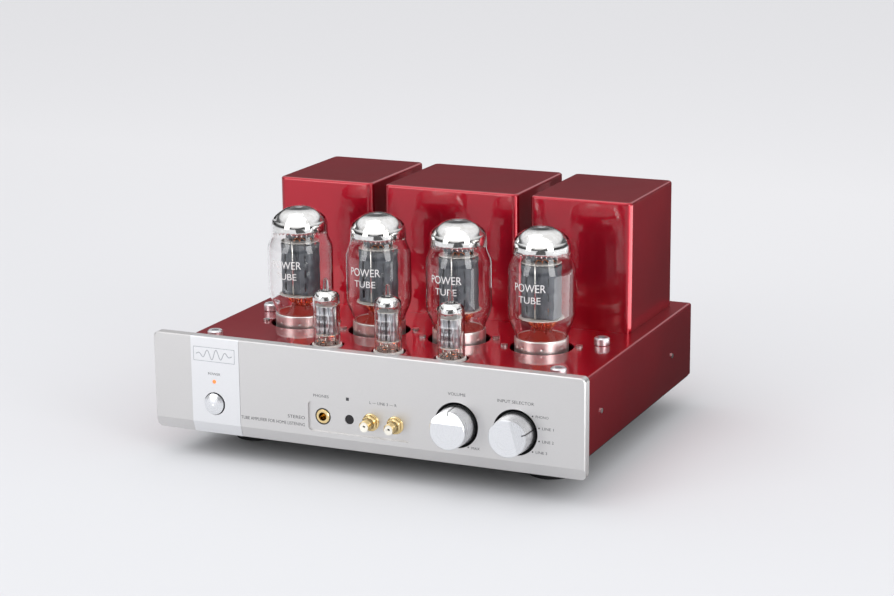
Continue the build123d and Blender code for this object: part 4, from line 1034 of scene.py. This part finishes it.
def knob_recess_shade(made):
    """Black lining on the wall and floor of the round recess behind each knob, as painted shade of the recess.
    """
    edge = POCKET_FLOOR - PANEL_FACE
    for node in ("volume_knob", "selector_knob"):
        spot = middle(node)
        profile = raised([(16.85, -0.15), (16.85, -3.45), (5.2, -3.45)], edge)
        turned_forward(made, spot.x, spot.z, profile, 96)


def pointer_line(made, spot, turn):
    """Black filling of the groove that runs over the flat of a knob and down its side."""
    back = PANEL_FACE + 2.2 * MM
    aim = Vector((math.sin(turn), 0.0, math.cos(turn)))
    side = Vector((math.cos(turn), 0.0, -math.sin(turn))) * 0.42 * MM
    row = []
    for reach, out in raised(((11.05, 17.0), (13.2, 16.05), (14.4, 2.5))):
        point = Vector((spot.x, back - out, spot.z)) + aim * reach
        row.append((made.verts.new(point - side), made.verts.new(point + side)))
    for first, second in zip(row, row[1:]):
        made.faces.new((first[0], first[1], second[1], second[0]))


def build_front_controls():
    shell = build_piece("front_jack_shells", jack_shell, GOLD, "chassis")
    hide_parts("front_line_jacks")
    build_piece("front_jack_noses", jack_nose, IVORY, "chassis")
    build_piece("front_jack_hole_shades", jack_hole_shade_and_gap, BLACK, "chassis")
    # painted shade: black lining inside the knob recesses
    build_piece("knob_recess_shades", knob_recess_shade, BLACK, "chassis")
    for name, turn in (("volume", 0.0), ("selector", SELECTOR_TURN)):
        spot = middle(f"{name}_knob")
        build_piece(f"{name}_pointer", pointer_line, BLACK, name, spot, turn, smooth=False)


# ---------------------------------------------------------------- small tubes
SMALL_SEAT = DECK + 1.0 * MM
SMALL_INSIDE = SMALL_R - 1.0 * MM
SMALL_FILM_EDGE = DECK + 34.5 * MM
SMALL_ANODE_LOW = DECK + 8.8 * MM
SMALL_ANODE_HIGH = DECK + 30.6 * MM
SMALL_ANODE_X = 3.7  # mm each side of the axis
SMALL_MICA = (8.4 * MM, 0.35 * MM, 14)  # radius, thickness, teeth
SMALL_PIN_CIRCLE = 5.95 * MM


def small_silver(made, centre):
    """Mirror film in the top of a small bulb, thin and uneven at its lower edge."""
    shoulder = SMALL_CROWN - 15.3 * MM
    neck = SMALL_CROWN - 9.3 * MM
    profile = [(SMALL_INSIDE, SMALL_FILM_EDGE), (SMALL_INSIDE, shoulder - 0.6 * MM)]
    for step in range(1, 11):
        turn = math.pi / 20 * step
        reach = SMALL_INSIDE * math.cos(turn) ** 0.9 + 1.2 * MM * math.sin(turn)
        profile.append((reach, shoulder + (neck - shoulder) * math.sin(turn)))

    def ragged(radius, height, turn):
        if height > SMALL_FILM_EDGE + 0.05 * MM:
            return radius, height
        return radius, height + (0.8 * math.sin(3 * turn + centre[0] * 60) + 0.35 * math.sin(13 * turn)) * MM

    lathe(made, centre, profile, 96, ragged)


def small_anodes(made, centre):
    """Two ribbed anode boxes side by side."""
    outline = even_points(rounded_outline(3.1 * MM, 4.4 * MM, 1.4 * MM, 5), 40)
    swells = [1.05 if row % 6 in (2, 3) else 1.0 for row in range(23)]
    for side in (-1, 1):
        x = side * SMALL_ANODE_X
        axis = (centre[0] + x * MM, centre[1])
        rings = sheet_rings(made, axis, outline, SMALL_ANODE_LOW, SMALL_ANODE_HIGH, swells)
        for low, high in zip(rings, rings[1:]):
            ring_faces(made, low, high)
        for y in (-5.0, 5.0):
            bar(made, centre, x, y, 0.2, 0.7, SMALL_ANODE_LOW, SMALL_ANODE_HIGH)


def small_rods(made, centre):
    """Support rods, the getter's strut and ring, and the wires down to the pins."""
    top = SMALL_ANODE_HIGH + 3.0 * MM
    getter = SMALL_FILM_EDGE + 2 * MM
    for x in (-7.2, 0.0, 7.2):
        upright_rod(made, centre, x, 0.0, SMALL_SEAT + 2 * MM, top, 0.35)
    rod(made, beside(centre, [(0.0, 0.0, top - 1 * MM), (0.0, 2.0, getter)]), 0.3)
    getter_ring(made, centre, 0.0, 3.2, getter, 0.4)
    for pin in range(9):
        turn = 2 * math.pi * pin / 10
        share = 0.6 if pin % 2 else 0.9
        tip = round_spot(centre, SMALL_PIN_CIRCLE, turn, SMALL_SEAT - 6.95 * MM)
        seat = round_spot(centre, SMALL_PIN_CIRCLE, turn, SMALL_SEAT)
        bend = round_spot(centre, SMALL_PIN_CIRCLE, turn, SMALL_SEAT + 3 * MM)
        end = round_spot(centre, SMALL_PIN_CIRCLE * share, turn, SMALL_ANODE_LOW - 0.5 * MM)
        rod(made, [seat, bend, end], 0.3)
        rod(made, [tip, seat], 0.5, 12)


def small_heaters(made, centre):
    for x in (-SMALL_ANODE_X, SMALL_ANODE_X):
        upright_rod(made, centre, x, 0.0, SMALL_ANODE_LOW - 2 * MM, SMALL_ANODE_LOW + 0.3 * MM, 0.6, 10)


def small_button(made, centre):
    """Moulded glass button that carries the pins."""
    radius = SMALL_INSIDE / MM
    profile = [(0.0, 0.0), (radius - 0.4, 0.0), (radius, 0.4), (radius, 1.8), (radius - 1.5, 2.2), (0.0, 2.2)]
    lathe(made, centre, raised(profile, SMALL_SEAT), 48)


def printed_frame(made, centre):
    """White outline printed round the lettering on the front of a small tube."""
    lift = SMALL_R + INK_LIFT
    wide, low, high, line = 6.4 * MM, DECK + 14.6 * MM, DECK + 25.4 * MM, 0.35 * MM

    def on_bulb(x, z):
        return made.verts.new(front_spot(centre, lift, x / lift, z))

    def strip(left, right, bottom, top, pieces):
        edges = [left + (right - left) * step / pieces for step in range(pieces + 1)]
        row = [(on_bulb(x, bottom), on_bulb(x, top)) for x in edges]
        for first, second in zip(row, row[1:]):
            made.faces.new((first[0], second[0], second[1], first[1]))

    strip(-wide, wide, low, low + line, 16)
    strip(-wide, wide, high - line, high, 16)
    for x in (-wide, wide - line):
        strip(x, x + line, low, high, 1)


def build_small_tube(number, centre):
    body = f"small_tube_{number}"
    spot = (centre.x, centre.y)
    parts = (
        ("silver", small_silver, MIRROR),
        ("anodes", small_anodes, PALE_SHEET),
        ("low_mica", toothed_disc, MICA, SMALL_ANODE_LOW - 0.5 * MM, *SMALL_MICA),
        ("high_mica", toothed_disc, MICA, SMALL_ANODE_HIGH, *SMALL_MICA),
        ("rods", small_rods, NICKEL),
        ("heaters", small_heaters, HEATER),
        ("button", small_button, GLASS),
        ("frame", printed_frame, WHITE_INK),
    )
    built = build_tube_parts(body, spot, parts)
    thicken(built["silver"], 0.06 * MM)
    thicken(built["anodes"], 0.25 * MM)
    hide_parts(f"{body}_electrodes")
    print_on_bulb(body, "AUDIO", DARK_INK, spot, SMALL_R, DECK + 22.5 * MM, 3.0 * MM, 9.5 * MM)
    print_on_bulb(body, "TUBE", DARK_INK, spot, SMALL_R, DECK + 17.5 * MM, 3.0 * MM, 8.0 * MM)


# ---------------------------------------------------------------- studio
LIGHT_TARGET = Vector((0.0, 0.0, 0.1))
CARD_LIFT = 0.5 * MM  # over the floor


def build_floor():
    """Flat floor that reaches to the horizon."""
    half = 30.0

    def build(made):
        corners = ((-half, -half), (half, -half), (half, half), (-half, half))
        made.faces.new([made.verts.new((x, y, 0.0)) for x, y in corners])

    mesh = mesh_from("studio_floor", build)
    add_piece("studio_floor", mesh, floor_material(), None, smooth=False)


def aim_light(light, along, axis):
    """Turn a light so that its own axis lies along a direction."""
    light.rotation_euler = Vector(along).to_track_quat(axis, "Y").to_euler()
    bpy.context.collection.objects.link(light)


def softbox(name, where, width, height, power):
    """A rectangular area light that points at the middle of the amplifier."""
    data = bpy.data.lights.new(name, "AREA")
    data.shape = "RECTANGLE"
    data.size = width
    data.size_y = height
    data.energy = power
    light = bpy.data.objects.new(name, data)
    light.location = where
    aim_light(light, LIGHT_TARGET - Vector(where), "-Z")


def build_sun():
    """Very soft light from the front, which keeps the whole floor evenly pale."""
    data = bpy.data.lights.new("front_sky", "SUN")
    data.energy = 0.75
    data.angle = math.radians(80)
    light = bpy.data.objects.new("front_sky", data)
    light.visible_glossy = False
    aim_light(light, (0.08, -0.66, 0.72), "Z")


def floor_card(name, corners, material, behind_glass=False):
    """A card lying on the floor that only reflections see, or only reflections inside the bulbs."""
    def build(made):
        made.faces.new([made.verts.new((x, y, CARD_LIFT)) for x, y in corners])

    card = add_piece(name, mesh_from(name, build), material, None, smooth=False)
    card.visible_camera = False
    card.visible_diffuse = False
    card.visible_glossy = not behind_glass
    card.visible_transmission = behind_glass
    card.visible_shadow = False


def build_world():
    """Pale studio tent overhead that fades to dark surroundings at the horizon."""
    world = bpy.data.worlds.new("studio")
    world.use_nodes = True
    coords = add_node(world, "ShaderNodeTexCoord")
    split = add_node(world, "ShaderNodeSeparateXYZ")
    ramp = add_node(world, "ShaderNodeValToRGB")
    steps = ((0.10, 0.03), (0.25, 0.04), (0.32, 0.50), (0.42, 0.86), (0.75, 1.0))
    while len(ramp.color_ramp.elements) < len(steps):
        ramp.color_ramp.elements.new(0.5)
    for element, (height, level) in zip(ramp.color_ramp.elements, steps):
        element.position = height
        element.color = (level, level, level * 1.02, 1.0)
    join(world, coords.outputs["Generated"], split.inputs[0])
    join(world, split.outputs["Z"], ramp.inputs["Fac"])
    join(world, ramp.outputs["Color"], world.node_tree.nodes["Background"].inputs["Color"])
    bpy.context.scene.world = world


def build_lights():
    softbox("overhead", (-0.35, -0.1, 1.5), 0.9, 0.9, 4.2)
    softbox("key", (1.6, -0.95, 0.60), 0.7, 1.15, 11.5)
    softbox("fill", (-1.05, -1.8, 0.62), 0.8, 1.2, 10.0)
    build_sun()
    # the sides face a dark card and the bulbs another dark one, painted dark reflections that only reflections
    # and the view through the glass see; their rounded front edges face a bright one
    painted_side_reflection = card_material("painted_side_reflection", 0.0)
    glow = card_material("glow", 5.0)
    painted_bulb_reflection = card_material("painted_bulb_reflection", 0.0)
    floor_card("studio_flag", ((0.168, -0.15), (1.67, 3.2), (0.168, 3.2)), painted_side_reflection)
    floor_card("studio_glow", ((0.42, -0.25), (1.1, -0.40), (1.1, 1.3), (0.42, 0.12)), glow)
    floor_card("camera_flag", ((0.0, -0.40), (0.42, -0.40), (8.0, -12.0), (2.0, -14.0)), painted_bulb_reflection, True)
    build_world()
    bpy.context.scene.view_settings.view_transform = "Standard"


CAMERA_LENS = 90.116
CAMERA_PLACE = (0.690705, -1.532429, 0.520863)
CAMERA_YAW = math.radians(24.1146)  # to the right of straight ahead
CAMERA_PITCH = math.radians(13.9711)  # above the table, looking down
CAMERA_ROLL = math.radians(-0.54)


def build_camera():
    """The camera at the angle from which the amplifier is usually shown."""
    data = bpy.data.cameras.new("camera")
    data.lens = CAMERA_LENS
    data.sensor_width = 36.0
    data.clip_start = 0.05
    data.clip_end = 200.0
    camera = bpy.data.objects.new("camera", data)
    bpy.context.collection.objects.link(camera)
    flat = math.cos(CAMERA_PITCH)
    back = Vector((math.sin(CAMERA_YAW) * flat, -math.cos(CAMERA_YAW) * flat, math.sin(CAMERA_PITCH)))
    level = (-back).cross(Vector((0, 0, 1))).normalized()
    above = level.cross(-back)
    right = math.cos(CAMERA_ROLL) * level + math.sin(CAMERA_ROLL) * above
    up = -math.sin(CAMERA_ROLL) * level + math.cos(CAMERA_ROLL) * above
    turn = Matrix((right, up, back)).transposed()
    camera.matrix_world = Matrix.Translation(CAMERA_PLACE) @ turn.to_4x4()
    bpy.context.scene.camera = camera


# ---------------------------------------------------------------- the whole picture
finish_nodes()
for number, centre in enumerate(POWER_TUBES, start=1):
    build_power_tube(number, centre)
for number, centre in enumerate(SMALL_TUBES, start=1):
    build_small_tube(number, centre)
build_front_marks()
build_front_controls()
build_floor()
build_lights()
build_camera()
